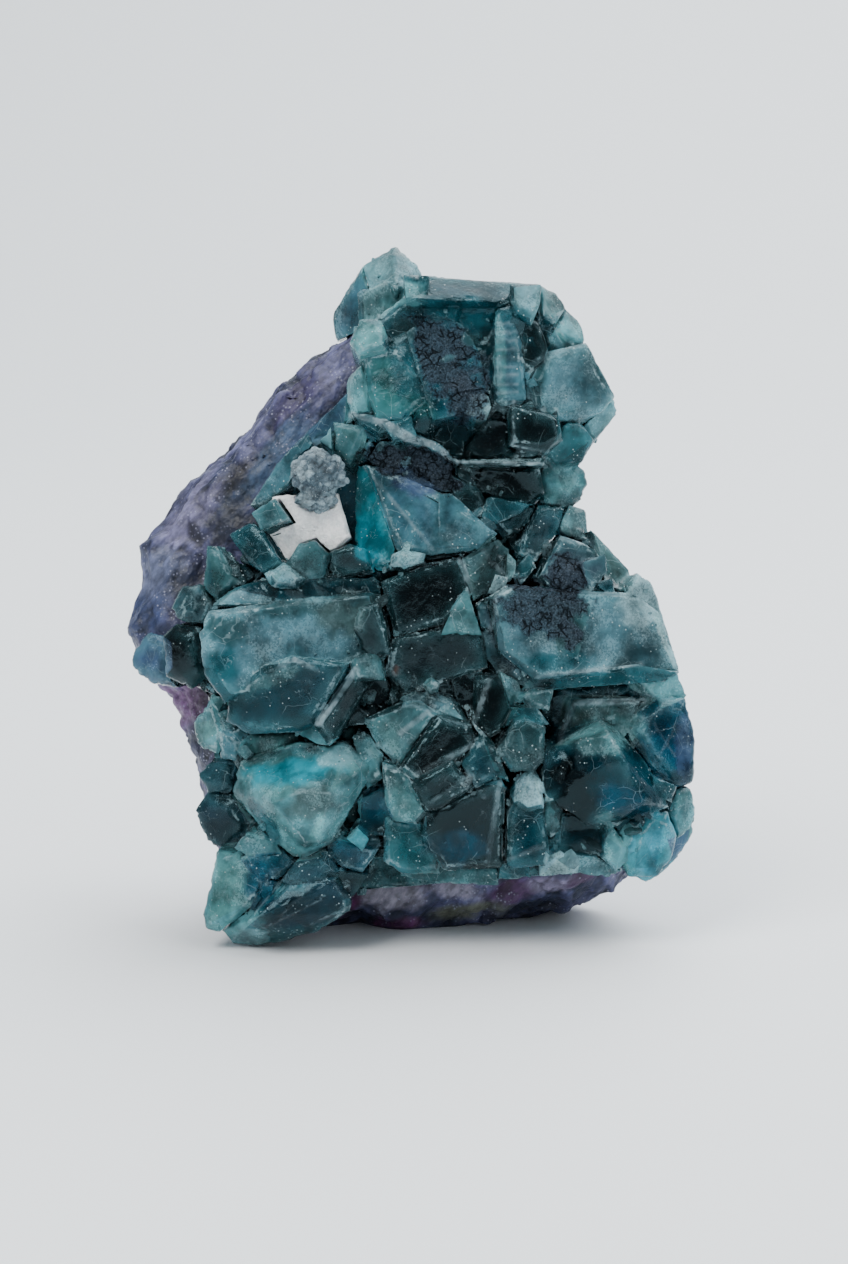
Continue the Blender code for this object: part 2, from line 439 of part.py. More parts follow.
def hull_object(name, points):
    """The convex body around some points, with its flat faces left whole."""
    shape = bmesh.new()
    for point in points:
        shape.verts.new(point)
    hull = bmesh.ops.convex_hull(shape, input=shape.verts)
    inside = hull["geom_interior"] + hull["geom_unused"]
    loose = {item for item in inside if isinstance(item, bmesh.types.BMVert)}
    bmesh.ops.delete(shape, geom=list(loose), context="VERTS")
    bmesh.ops.dissolve_limit(shape, angle_limit=math.radians(1), verts=shape.verts, edges=shape.edges)
    return mesh_object(name, shape)


MATRIX_OUTLINE = (
    # The widest section of the massive fluorite, anticlockwise from the crown's left side.
    (-11, 105.5), (-19, 100), (-24, 96), (-26.5, 91), (-30.5, 86), (-36, 82.5), (-39, 79), (-41.5, 74),
    (-46.5, 71), (-48, 67.5), (-47, 62), (-50, 55), (-47, 47), (-41.5, 43), (-38, 34), (-35, 22),
    (-31, 8), (-24, 2), (-9, 3.6), (-4, 1.5), (2, 1.5), (8, 3.5), (19, 5), (29, 6.5), (36, 10),
    (43, 17), (45, 28), (43, 43), (39, 56), (29, 68), (26, 80), (30, 92), (25, 104), (16, 110),
    (2, 112), (-7, 110),
)

MATRIX_SECTIONS = (
    # How proud each section lies, and how far it draws in from the widest outline.
    (-6.5, 13.0), (-7.2, 6.5), (-9.5, 2.6), (-13.5, 0.4), (-19.0, 0.0), (-25.5, 1.4), (-32.0, 4.6),
    (-37.5, 9.5), (-41.0, 16.0), (-42.5, 23.5),
)

FRACTURES = (
    # Flat breaks on the hidden side: the way each faces (across, up, proud), and how far out it lies.
    ((0.15, 0.35, -1.0), 18.0),
    ((-0.75, 0.15, -0.8), 28.0),
    ((0.80, -0.10, -0.8), 31.0),
    ((0.35, 0.95, -0.75), 43.0),
    ((-0.55, 0.70, -0.75), 38.0),
    ((0.10, -0.60, -1.0), 32.0),
)
FRACTURE_MIDDLE = (0.0, 50.0, -20.0)


def evenly_spaced(outline, count):
    """Points at equal steps along a closed outline."""
    ring = np.array(outline + outline[:1], float)
    steps = np.linalg.norm(np.diff(ring, axis=0), axis=1)
    along = np.concatenate([[0.0], np.cumsum(steps)])
    wanted = np.linspace(0.0, along[-1], count, endpoint=False)
    return np.stack([np.interp(wanted, along, ring[:, axis]) for axis in (0, 1)], axis=1)


def matrix_shape(grown):
    """The lumpy body of the massive fluorite, with its skin moved out by grown millimetres."""
    outline = evenly_spaced(MATRIX_OUTLINE, MATRIX_SEGMENTS)
    middle = outline.mean(axis=0)
    shape = bmesh.new()
    rings = []
    for proud, drawn_in in MATRIX_SECTIONS:
        reach = np.linalg.norm(outline - middle, axis=1)[:, None]
        section = middle + (outline - middle) * (1 - drawn_in / reach)
        lowness = np.clip((middle[1] - section[:, 1]) / middle[1], 0.0, 1.0)
        section[:, 1] += lowness * MATRIX_DROOP * (proud - MATRIX_SECTIONS[0][0])
        rings.append([shape.verts.new(place(*point, proud)) for point in section])
    for near, far in zip(rings, rings[1:], strict=False):
        for i, corner in enumerate(near):
            following = (i + 1) % MATRIX_SEGMENTS
            shape.faces.new((corner, near[following], far[following]))
            shape.faces.new((corner, far[following], far[i]))
    for ring in (rings[0], rings[-1]):
        centre = shape.verts.new(sum((vert.co for vert in ring), Vector()) / MATRIX_SEGMENTS)
        for i, corner in enumerate(ring):
            shape.faces.new((corner, ring[(i + 1) % MATRIX_SEGMENTS], centre))
    bmesh.ops.recalc_face_normals(shape, faces=shape.faces)
    shape.normal_update()
    moves = []
    for vert in shape.verts:
        spot = vert.co / (MATRIX_LUMP_PITCH * MM) + NOISE_SEED
        lump = noise.noise(spot) + 0.5 * noise.noise(spot * 2.1)
        moves.append(vert.normal * (lump * MATRIX_LUMP + grown) * MM)
    for vert, move in zip(shape.verts, moves, strict=True):
        vert.co += move
    return shape


def knob_shape(grown):
    """The drusy knob: a lumpy ball with a smaller lobe under it, as one convex bunch of points each."""
    lobes = (((-15.4, 80.2, 5.4), (4.7, 4.4, 3.6)), ((-15.8, 76.0, 5.2), (3.6, 2.2, 2.4)))
    shapes = []
    for (u, v, p), (wide, high, deep) in lobes:
        shape = bmesh.new()
        bmesh.ops.create_icosphere(shape, subdivisions=2, radius=1.0)
        for vert in shape.verts:
            way = vert.co.copy()
            lump = 1.0 + KNOB_ROUGHNESS * noise.noise(way * 2.2 + NOISE_SEED)
            vert.co = place(
                u + way.x * (wide * lump + grown),
                v + way.y * (high * lump + grown),
                p + way.z * (deep * lump + grown),
            )
        shapes.append(shape)
    return shapes


CALCITE_CORNERS = (
    (-23, 76.3), (-20.5, 76.7), (-12, 77), (-9.8, 69.5), (-13, 66.5), (-21.3, 64.8), (-24.7, 70),
)
CALCITE_PROUD = 4.4
CALCITE_DEPTH = 10.0  # deep enough to reach the crust behind it, which then cuts it back


def calcite_points():
    """The corners of the calcite patch: its softened front and its back."""
    outline = np.array(CALCITE_CORNERS, float)
    centre = outline.mean(axis=0)
    points = []
    for corner in outline:
        points.append(place(*(centre + (corner - centre) * 0.93), CALCITE_PROUD))
        points.append(place(*corner, CALCITE_PROUD - 0.6))
        points.append(place(*corner, CALCITE_PROUD - CALCITE_DEPTH))
    return points


def boolean(target, operation, cutters):
    """Joins or cuts target with each of cutters at once, keeps the result and removes the cutters."""
    group = bpy.data.collections.new("operands")
    bpy.context.scene.collection.children.link(group)
    for cutter in cutters:
        bpy.context.scene.collection.objects.unlink(cutter)
        group.objects.link(cutter)
    modifier = target.modifiers.new("shape", "BOOLEAN")
    modifier.operation = operation
    modifier.solver = "EXACT"
    modifier.operand_type = "COLLECTION"
    modifier.collection = group
    keep_result(target)
    for cutter in cutters:
        bpy.data.objects.remove(cutter)
    bpy.data.collections.remove(group)


def keep_result(target):
    """Replaces the object's mesh by what its modifiers make of it."""
    graph = bpy.context.evaluated_depsgraph_get()
    result = bpy.data.meshes.new_from_object(target.evaluated_get(graph))
    target.modifiers.clear()
    target.data = result


def keep_behind(target, point, normal):
    """Keeps the side of a plane that its normal points to, and closes the cut with a flat face."""
    shape = bmesh.new()
    shape.from_mesh(target.data)
    geometry = shape.verts[:] + shape.edges[:] + shape.faces[:]
    cut = bmesh.ops.bisect_plane(
        shape, geom=geometry, dist=1e-7, plane_co=point, plane_no=normal, clear_inner=True
    )
    rim = [item for item in cut["geom_cut"] if isinstance(item, bmesh.types.BMEdge)]
    if rim:
        bmesh.ops.holes_fill(shape, edges=rim)
    bmesh.ops.recalc_face_normals(shape, faces=shape.faces)
    shape.to_mesh(target.data)
    shape.free()


def tidy(target):
    """Makes flat neighbours one face, so that the joins leave no needless triangles."""
    shape = bmesh.new()
    shape.from_mesh(target.data)
    flat = math.radians(TIDY_ANGLE)
    bmesh.ops.dissolve_limit(shape, angle_limit=flat, verts=shape.verts, edges=shape.edges)
    bmesh.ops.triangulate(shape, faces=shape.faces)
    shape.to_mesh(target.data)
    shape.free()


def largest_body(target):
    """Drops loose crumbs that a cut leaves apart from the main body."""
    shape = bmesh.new()
    shape.from_mesh(target.data)
    unseen = set(shape.verts)
    bodies = []
    while unseen:
        queue = [unseen.pop()]
        body = set(queue)
        while queue:
            for edge in queue.pop().link_edges:
                for vert in edge.verts:
                    if vert in unseen:
                        unseen.remove(vert)
                        body.add(vert)
                        queue.append(vert)
        bodies.append(body)
    bodies.sort(key=len, reverse=True)
    crumbs = [vert for body in bodies[1:] for vert in body]
    bmesh.ops.delete(shape, geom=crumbs, context="VERTS")
    shape.to_mesh(target.data)
    shape.free()


def material(name, colour, roughness, transmission=0.0):
    """A plain Principled material."""
    made = bpy.data.materials.new(name)
    made.use_nodes = True
    shader = made.node_tree.nodes["Principled BSDF"]
    shader.inputs["Base Color"].default_value = (*colour, 1.0)
    shader.inputs["Roughness"].default_value = roughness
    shader.inputs["Metallic"].default_value = 0.0
    shader.inputs["Transmission Weight"].default_value = transmission
    shader.inputs["IOR"].default_value = 1.434
    return made


def build_matrix():
    """The purple massive fluorite, broken off at the back and cut flat underneath."""
    rock = mesh_object("matrix", matrix_shape(0.0))
    middle = place(*FRACTURE_MIDDLE)
    for facing, away in FRACTURES:
        normal = (place(*facing) - place(0, 0, 0)).normalized()
        keep_behind(rock, middle + normal * away * MM, -normal)
    keep_behind(rock, Vector((0, 0, 0)), Vector((0, 0, 1)))
    return rock


def build_calcite():
    """The white calcite patch, hollowed where the drusy knob grew on it."""
    patch = hull_object("white_calcite", calcite_points())
    boolean(patch, "DIFFERENCE", [mesh_object("knob_room", shape) for shape in knob_shape(GAP)])
    around = [hull_object(c.name, crystal_points(c, GAP)) for c in crust() + neck() + pocket()]
    boolean(patch, "DIFFERENCE", around)
    largest_body(patch)
    return patch


def build_knob():
    """The drusy knob on the calcite."""
    ball, lobe = knob_shape(0.0)
    knob = mesh_object("drusy_knob", ball)
    boolean(knob, "UNION", [mesh_object("lobe", lobe)])
    return knob


def build_cluster():
    """All the blue-green crystals as the one body that they grew into."""
    crystals = crust() + crown_peak() + crown_block() + crown_right() + neck() + pocket() + left_edge()
    crystals += left_centre() + right_face() + right_foot() + centre_foot() + left_foot()
    bodies = [hull_object(crystal.name, crystal_points(crystal)) for crystal in crystals]
    cluster = bodies[0]
    cluster.name = "crystal_cluster"
    boolean(cluster, "UNION", bodies[1:])
    tidy(cluster)
    room = [mesh_object("matrix_room", matrix_shape(GAP))]
    room += [mesh_object("knob_room", shape) for shape in knob_shape(GAP)]
    boolean(cluster, "DIFFERENCE", room)
    tidy(cluster)
    return cluster


def stand_on_origin(nodes):
    """Moves everything so that the origin is at the bottom centre of the whole specimen."""
    corners = np.array([vert.co for node in nodes for vert in node.data.vertices])
    low, high = corners.min(axis=0), corners.max(axis=0)
    middle = (low + high) / 2
    shift = Matrix.Translation((-middle[0], -middle[1], -low[2]))
    for node in nodes:
        node.data.transform(shift)


def main():
    """Builds the four nodes."""
    for old in list(bpy.data.objects):
        bpy.data.objects.remove(old)
    rock = build_matrix()
    patch = build_calcite()
    knob = build_knob()
    cluster = build_cluster()
    keep_behind(cluster, Vector((0, 0, FLOOR_CLEARANCE * MM)), Vector((0, 0, 1)))
    largest_body(cluster)
    rock.data.materials.append(material("purple_fluorite", (0.30, 0.25, 0.42), 0.6))
    patch.data.materials.append(material("white_calcite", (0.80, 0.84, 0.83), 0.7))
    knob.data.materials.append(material("grey_druse", (0.50, 0.58, 0.60), 0.5, 0.2))
    cluster.data.materials.append(material("blue_green_fluorite", (0.10, 0.32, 0.34), 0.2, 0.7))
    stand_on_origin([rock, patch, knob, cluster])


main()
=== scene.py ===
"""Dresses the fluorite specimen: clear and milky crystals, purple massive fluorite, calcite and druse.

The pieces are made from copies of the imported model's own meshes, so they sit where it does. Places on the
crystal face are given in the specimen's face frame, in millimetres: u across, v up and p proud of it.
"""

import itertools
import logging
import math
from collections.abc import Callable, Iterator
from dataclasses import dataclass
from enum import Enum

import bmesh
import bpy
import numpy as np
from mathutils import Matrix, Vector, noise
from mathutils.bvhtree import BVHTree
from mathutils.kdtree import KDTree


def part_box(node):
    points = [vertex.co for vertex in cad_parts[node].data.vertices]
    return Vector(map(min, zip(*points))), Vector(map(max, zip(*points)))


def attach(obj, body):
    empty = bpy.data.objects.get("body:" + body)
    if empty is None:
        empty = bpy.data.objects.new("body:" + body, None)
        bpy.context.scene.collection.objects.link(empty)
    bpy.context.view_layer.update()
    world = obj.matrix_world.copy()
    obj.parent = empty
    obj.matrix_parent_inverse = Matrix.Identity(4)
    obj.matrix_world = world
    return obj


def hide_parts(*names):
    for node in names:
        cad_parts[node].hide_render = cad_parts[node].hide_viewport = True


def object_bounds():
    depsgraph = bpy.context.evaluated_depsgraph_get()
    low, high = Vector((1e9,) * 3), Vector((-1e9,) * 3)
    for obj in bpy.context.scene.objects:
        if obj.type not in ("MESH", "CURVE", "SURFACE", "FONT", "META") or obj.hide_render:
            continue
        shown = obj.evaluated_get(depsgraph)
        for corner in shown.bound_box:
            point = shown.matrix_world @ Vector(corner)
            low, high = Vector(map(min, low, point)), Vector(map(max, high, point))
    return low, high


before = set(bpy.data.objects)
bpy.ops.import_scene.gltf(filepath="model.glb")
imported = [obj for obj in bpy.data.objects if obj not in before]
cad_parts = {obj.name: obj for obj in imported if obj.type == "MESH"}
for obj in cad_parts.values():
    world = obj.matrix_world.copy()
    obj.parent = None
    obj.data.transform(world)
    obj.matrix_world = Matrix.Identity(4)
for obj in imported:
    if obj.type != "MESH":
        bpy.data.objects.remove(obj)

MODEL_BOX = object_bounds()
MM = 0.001
BODY = "root"
EDGE_SPAN = 4.0  # the skin attribute's alpha counts from 0 at an edge to 1 this many millimetres away

log = logging.getLogger("fluorite")

Pair = tuple[float, float]
Triple = tuple[float, float, float]
Colour = Triple
Tone = tuple[float, float, float, float]
Socket = bpy.types.NodeSocket
Node = bpy.types.Node
Feeds = dict[str | int, object]
Array = np.ndarray


def colour(red: int, green: int, blue: int) -> Colour:
    """Turns a display colour into the linear values that a shader takes.

    Args:
        red: Red on the display, 0 to 255.
        green: Green on the display, 0 to 255.
        blue: Blue on the display, 0 to 255.

    Returns:
        The same colour in linear light.
    """

    def linear(value: int) -> float:
        """One channel in linear light."""
        share = value / 255
        return share / 12.92 if share <= 0.04045 else ((share + 0.055) / 1.055) ** 2.4

    return (linear(red), linear(green), linear(blue))


@dataclass(frozen=True)
class FaceFrame:
    """The specimen's own frame: u runs across the crystal face, v up it, and p stands proud of it.

    Attributes:
        origin: Where u, v and p are all zero, in metres.
        lean: How far the face leans back from upright, in degrees.
    """

    origin: Vector
    lean: float = 10.0

    @classmethod
    def of_cluster(cls, low: Vector, high: Vector) -> "FaceFrame":
        """Finds the frame from the crystal cluster's box.

        Args:
            low: The box's lowest corner.
            high: The box's highest corner.

        Returns:
            The face frame.
        """
        rim_reach = 49.0 * MM
        front_reach = 8.74 * MM
        return cls(Vector((high.x - rim_reach, low.y + front_reach, 0.0)))

    def to_face(self, points: Array) -> Array:
        """Gives points in the face frame.

        Args:
            points: One point in metres per row.

        Returns:
            One (u, v, p) in millimetres per row.
        """
        sine, cosine = math.sin(math.radians(self.lean)), math.cos(math.radians(self.lean))
        local = points - np.array(self.origin)
        across = local[:, 0]
        up = local[:, 1] * sine + local[:, 2] * cosine
        proud = -local[:, 1] * cosine + local[:, 2] * sine
        return np.stack([across, up, proud], axis=1) / MM

    def direction(self) -> Array:
        """The way the crystal face looks, as a unit vector."""
        lean = math.radians(self.lean)
        return np.array([0.0, -math.cos(lean), math.sin(lean)])

    def place(self, across: float, up: float, proud: float) -> Vector:
        """Finds the point in metres at a (u, v, p) in millimetres."""
        sine, cosine = math.sin(math.radians(self.lean)), math.cos(math.radians(self.lean))
        return self.origin + Vector((across, up * sine - proud * cosine, up * cosine + proud * sine)) * MM


@dataclass(frozen=True)
class Look:
    """How a patch of crystal looks.

    Attributes:
        tint: Colour of its surface and of the light that enters it.
        clear: Share of the light that passes into the crystal, 0 to 1.
        frost: How frosted the skin is, 0 to 1.
        etch: How deeply the skin is etched to dark cracked plates, 0 to 1.
    """

    tint: Colour
    clear: float
    frost: float
    etch: float = 0.0

    def row(self) -> Array:
        """Its tint and its clearness, as one row for the tint attribute."""
        return np.array([*self.tint, self.clear])


class Glow(Enum):
    """The looks that the crystals come in."""

    NIGHT = Look(colour(2, 11, 15), 0.90, 0.01)
    SMOKE = Look(colour(13, 24, 28), 0.72, 0.10)
    NAVY = Look(colour(12, 38, 56), 0.60, 0.12)
    DEEP = Look(colour(4, 54, 67), 0.62, 0.10)
    TEAL = Look(colour(28, 82, 92), 0.50, 0.26)
    GREEN = Look(colour(38, 96, 99), 0.44, 0.28)
    BLUE = Look(colour(8, 68, 92), 0.58, 0.18)
    GREY_BLUE = Look(colour(50, 85, 98), 0.36, 0.36)
    GREY_TEAL = Look(colour(34, 62, 66), 0.42, 0.32)
    HAZE = Look(colour(62, 98, 107), 0.32, 0.56)
    MINT = Look(colour(72, 122, 126), 0.30, 0.46)
    PALE = Look(colour(86, 126, 132), 0.24, 0.60)
    MILK = Look(colour(50, 86, 90), 0.38, 0.48)
    TURQUOISE = Look(colour(44, 128, 144), 0.36, 0.34)
    CYAN = Look(colour(20, 136, 154), 0.34, 0.16)
    SLATE = Look(colour(34, 46, 56), 0.36, 0.28)
    LILAC = Look(colour(52, 70, 98), 0.36, 0.36)
    OLIVE = Look(colour(56, 78, 78), 0.38, 0.40)
    CHARCOAL = Look(colour(44, 52, 61), 0.08, 0.05, 1.0)
    WHITE = Look(colour(104, 134, 140), 0.10, 0.85)
    RUST = Look(colour(70, 40, 28), 0.15, 0.20)


def oval_distance(places: Array, middle: Pair, reach: Pair, turn: float) -> Array:
    """Measures how far points lie from the middle of an oval on the crystal face.

    Args:
        places: One (u, v, ...) in millimetres per row.
        middle: The oval's middle (u, v), in millimetres.
        reach: Its half width and half height, in millimetres.
        turn: How far it is turned, in degrees anticlockwise.

    Returns:
        0 at the middle and 1 on the oval, for each point.
    """
    angle = math.radians(turn)
    du = places[:, 0] - middle[0]
    dv = places[:, 1] - middle[1]
    along = du * math.cos(angle) + dv * math.sin(angle)
    beside = -du * math.sin(angle) + dv * math.cos(angle)
    return np.hypot(along / reach[0], beside / reach[1])


@dataclass(frozen=True)
class Spot:
    """A place on the crystal face that has a look of its own.

    Attributes:
        name: The crystal or the mark there.
        glow: Its look.
        middle: Its middle (u, v), in millimetres.
        reach: Its half width and half height, in millimetres.
        turn: How far it is turned, in degrees anticlockwise.
    """

    name: str
    glow: Glow
    middle: Pair
    reach: Pair
    turn: float = 0.0

    def nearness(self, places: Array) -> Array:
        """How far points (u, v, ...) lie from its middle: 1 on its oval."""
        return oval_distance(places, self.middle, self.reach, self.turn)


CRYSTAL_SPOTS: tuple[Spot, ...] = tuple(Spot(*row) for row in (
    ("peak", Glow.PALE, (-3, 114.5), (5, 6)),
    ("peak_wing", Glow.GREY_BLUE, (-10, 109.5), (3.2, 7.5)),
    ("peak_plate", Glow.PALE, (-6, 109.5), (3, 4)),
    ("peak_stub", Glow.TEAL, (5, 113.5), (4, 2.2)),
    ("grey_mint_block", Glow.MINT, (-6.8, 103), (3.2, 3.4)),
    ("block", Glow.DEEP, (9, 103), (15, 7)),
    ("block_foot", Glow.DEEP, (5, 88.5), (8, 4)),
    ("roof", Glow.DEEP, (11, 111), (12, 2.4), -4),
    ("roof_green", Glow.TEAL, (1.2, 112), (2.6, 2.0)),
    ("etched_face", Glow.DEEP, (6.5, 98), (7, 9)),
    ("etched_step", Glow.DEEP, (9.8, 96.8), (3.9, 3.8)),
    ("green_face", Glow.GREEN, (-2.8, 94.8), (5, 6)),
    ("mint_flank", Glow.MINT, (-8.6, 94.5), (2, 5)),
    ("bead", Glow.WHITE, (11.7, 91), (2.4, 2.8)),
    ("drape", Glow.PALE, (20, 108.8), (2.8, 3.4)),
    ("milky_ridge", Glow.GREY_BLUE, (17, 100), (2.5, 8)),
    ("dark_window", Glow.NIGHT, (21, 101.5), (2.6, 5)),
    ("smoky_block", Glow.NIGHT, (14, 87), (5.5, 4.8)),
    ("smoky_cube", Glow.NIGHT, (21.3, 87.8), (4.8, 4.2)),
    ("blue_corner", Glow.MILK, (24.3, 109), (2.4, 3.2)),
    ("pale_corner", Glow.MINT, (27.4, 104.8), (3, 3.8)),
    ("shoulder", Glow.HAZE, (27.5, 95.8), (7, 7)),
    ("edge_bar", Glow.PALE, (33, 89.8), (2.4, 4), -35),
    ("low_block", Glow.TEAL, (27, 85.6), (4.4, 4)),
    ("upper_bead", Glow.MINT, (26.4, 78.6), (4.4, 3.8)),
    ("lower_bead", Glow.PALE, (28.6, 72), (2.8, 3)),
    ("teal_link", Glow.DEEP, (22.3, 70.3), (4, 5)),
    ("druse_ledge_left", Glow.DEEP, (-6.5, 88.8), (3, 1.8)),
    ("druse_ledge_mid", Glow.TEAL, (-1.5, 87.8), (3, 2.2)),
    ("druse_ledge_right", Glow.DEEP, (4.6, 84.3), (3.7, 2.2), -35),
    ("druse_shelf", Glow.NIGHT, (15.5, 82), (7.6, 0.9)),
    ("etched_wedge", Glow.SMOKE, (0.5, 81), (7.2, 3.8)),
    ("etched_bead", Glow.MINT, (-0.5, 82.2), (1.2, 1.3)),
    ("dark_steps", Glow.NIGHT, (15.5, 78.8), (8, 3.4)),
    ("dark_step_low", Glow.NIGHT, (9.9, 75.8), (3, 3.5)),
    ("blue_lit", Glow.GREY_BLUE, (0, 73.5), (8.5, 6), -25),
    ("blue_lit_step", Glow.GREY_BLUE, (9.2, 71.5), (5, 4.4), -30),
    ("blue_side", Glow.CYAN, (-6.3, 72.5), (2.6, 9)),
    ("white_foot", Glow.PALE, (-0.3, 65.8), (3, 1.8)),
    ("notch_pale", Glow.TEAL, (16, 74.3), (4, 2.2)),
    ("notch_dark", Glow.DEEP, (18, 72.5), (3, 2.2)),
    ("green_wedge", Glow.MILK, (-10.3, 85.8), (2.8, 3.6)),
    ("pale_splint", Glow.PALE, (-13.8, 86), (1.1, 2)),
    ("long_blade", Glow.GREY_BLUE, (-21.5, 80), (7.5, 2.2), 50),
    ("flank_glass", Glow.LILAC, (-17, 88), (10, 2.6), 45),
    ("grey_chip", Glow.MILK, (-23.5, 73.3), (3.2, 2.6)),
    ("teal_slab", Glow.DEEP, (-26, 67.8), (4.8, 4.2)),
    ("mint_drop", Glow.PALE, (-20.8, 62.8), (3.4, 2.2)),
    ("low_chip_left", Glow.GREY_TEAL, (-16.8, 65.8), (3.7, 3.6)),
    ("low_chip_right", Glow.SMOKE, (-9.8, 65.6), (3.8, 2.8)),
    ("streaked_flank", Glow.NIGHT, (-30.3, 73.5), (2.4, 5), -25),
    ("teal_column", Glow.GREY_TEAL, (-32, 63.5), (3, 4.8)),
    ("grey_ball", Glow.SLATE, (-37.2, 58.2), (3.3, 3.4)),
    ("black_ball", Glow.NIGHT, (-38, 49.5), (4, 5.4)),
    ("slate_blue", Glow.LILAC, (-44, 48.8), (4.2, 4.6)),
    ("glassy_tip", Glow.PALE, (-47, 53.6), (2.2, 3)),
    ("pale_chunk", Glow.MINT, (-34, 37.2), (2.9, 4.8)),
    ("lilac_block", Glow.GREY_BLUE, (-30.5, 34.4), (2, 2.6)),
    ("navy_upper", Glow.NAVY, (-32.7, 28.6), (3.6, 3)),
    ("navy_lower", Glow.NAVY, (-31.8, 21.6), (4.8, 4.6)),
    ("long_slab", Glow.HAZE, (-20, 53.5), (16, 5.4), 3),
    ("slab_top", Glow.DEEP, (-17, 61), (13, 2)),
    ("slab_corner", Glow.NIGHT, (-6, 54.3), (3.2, 4.6)),
    ("second_slab", Glow.DEEP, (-20.5, 43), (10.5, 6.4), 8),
    ("second_slab_side", Glow.SMOKE, (-10.6, 41.5), (2.6, 6.8), -28),
    ("frost_cap", Glow.MILK, (-6.8, 48), (3.2, 2.6)),
    ("black_facet", Glow.NIGHT, (-6.2, 42), (4.2, 4)),
    ("dark_cube", Glow.NIGHT, (3.8, 59.8), (6.6, 6.4)),
    ("clear_cube", Glow.OLIVE, (13.2, 64), (4, 4.8)),
    ("mint_wedge", Glow.MINT, (8.6, 56.6), (3, 4)),
    ("grey_block", Glow.SMOKE, (5, 50), (8.6, 5)),
    ("tiny_knob", Glow.MILK, (3.8, 44.5), (1.3, 1.5)),
    ("splinter_low", Glow.WHITE, (15, 61.5), (1.6, 1.8)),
    ("splinter_high", Glow.PALE, (17.2, 64.3), (1, 2.7)),
    ("pit_crystal", Glow.TEAL, (19.8, 64.3), (1.8, 2.8)),
    ("great_face_left", Glow.SLATE, (17, 51), (4.5, 6)),
    ("great_face", Glow.HAZE, (36, 53.5), (9, 6)),
    ("great_bevel", Glow.NIGHT, (13.6, 52), (2.2, 7), 22),
    ("great_sill", Glow.TEAL, (33, 45.8), (12.5, 1.7), 4),
    ("great_etched", Glow.GREY_TEAL, (22.5, 54.5), (8.2, 5.2)),
    ("mint_fin", Glow.WHITE, (42, 55.5), (2.4, 8.6), 26),
    ("slate_crystal", Glow.SLATE, (27.8, 64.3), (5.4, 5.6)),
    ("slate_chip", Glow.SLATE, (31.2, 64), (2.6, 3)),
    ("teal_chip", Glow.DEEP, (33.3, 61), (1.6, 1.5)),
    ("olive_rim", Glow.OLIVE, (34.4, 65.4), (2.8, 5.4), 25),
    ("hip", Glow.MINT, (43, 43.8), (4.6, 2.4)),
    ("recess_crystal", Glow.OLIVE, (32.5, 39), (6.4, 4.2)),
    ("octahedron", Glow.DEEP, (33, 29), (10, 8.6), -20),
    ("blue_heart", Glow.BLUE, (43.6, 35), (5.2, 7.4)),
    ("grey_tab", Glow.DEEP, (43, 26.9), (2.1, 2.3)),
    ("turquoise_foot", Glow.TURQUOISE, (41, 17.5), (4.4, 6)),
    ("mint_rim", Glow.MINT, (47, 23), (2.3, 4.2)),
    ("fringe", Glow.LILAC, (46.3, 15.6), (2.4, 5.8), 35),
    ("navy_step", Glow.DEEP, (29, 19), (4.8, 4)),
    ("pale_scale", Glow.MINT, (34.7, 17), (2.3, 3.8)),
    ("lip_right", Glow.HAZE, (32, 13.8), (4, 1.9)),
    ("lip_mid", Glow.WHITE, (25.3, 14.3), (3.3, 2.2)),
    ("lip_left", Glow.TEAL, (17.8, 13), (2.8, 1.5)),
    ("hexagon_face", Glow.GREY_TEAL, (19, 34.5), (4.2, 4.9)),
    ("hexagon_rim", Glow.TEAL, (19.8, 39.3), (4.2, 1.6)),
    ("druse_saddle", Glow.MILK, (21.7, 42.4), (3.2, 2.1)),
    ("barred_crystal", Glow.NIGHT, (14, 41), (3.7, 5.5)),
    ("deep_blue_cleft", Glow.NIGHT, (9.3, 43.3), (2.6, 4.6)),
    ("mint_lip", Glow.MILK, (17, 44), (1.9, 3.3)),
    ("upper_cube", Glow.NIGHT, (5.2, 34), (6.4, 5)),
    ("lower_cube", Glow.NIGHT, (5, 27.6), (5, 4.2)),
    ("side_cube", Glow.DEEP, (12.2, 32), (3.2, 4.4)),
    ("silver_spear", Glow.TEAL, (14.2, 33), (1.8, 5.4), 30),
    ("jade_shard", Glow.MILK, (-2.2, 37), (5, 5)),
    ("jade_cap", Glow.HAZE, (4, 41.2), (6, 2)),
    ("mint_shard", Glow.MILK, (-1.4, 26.4), (3.2, 4.8)),
    ("mint_spur", Glow.MILK, (-6.6, 32), (2.4, 4.6)),
    ("deep_wedge", Glow.BLUE, (-5.6, 23.4), (2.8, 4.2)),
    ("opal_wedge", Glow.TEAL, (0, 17), (4.8, 4.6)),
    ("tall_crystal", Glow.NIGHT, (9.8, 20.5), (7, 7.6)),
    ("tall_neighbour", Glow.DEEP, (20, 19.5), (3.6, 6.4)),
    ("white_tip", Glow.WHITE, (20.6, 26.8), (2.2, 3.2)),
    ("frost_knot", Glow.GREY_TEAL, (24.3, 22.3), (1.8, 3.3)),
    ("bottom_lip", Glow.MILK, (7, 12.3), (8.2, 1.6)),
    ("turquoise", Glow.MINT, (-18, 27), (11.5, 9)),
    ("spire", Glow.MINT, (-30, 9.5), (4.6, 7.4)),
    ("keel", Glow.TEAL, (-19, 5.5), (11, 6), 18),
    ("keel_top", Glow.BLUE, (-23.5, 14.5), (5, 2.6)),
    ("keel_blue", Glow.NAVY, (-17, 13), (4.8, 2.8)),
    ("frosty_chips", Glow.MILK, (-25.8, 17.3), (4, 2)),
    ("green_chip", Glow.NIGHT, (-10.4, 11.6), (3.6, 2.3)),
    ("blue_chip", Glow.BLUE, (-9.8, 16), (4.4, 2.8)),
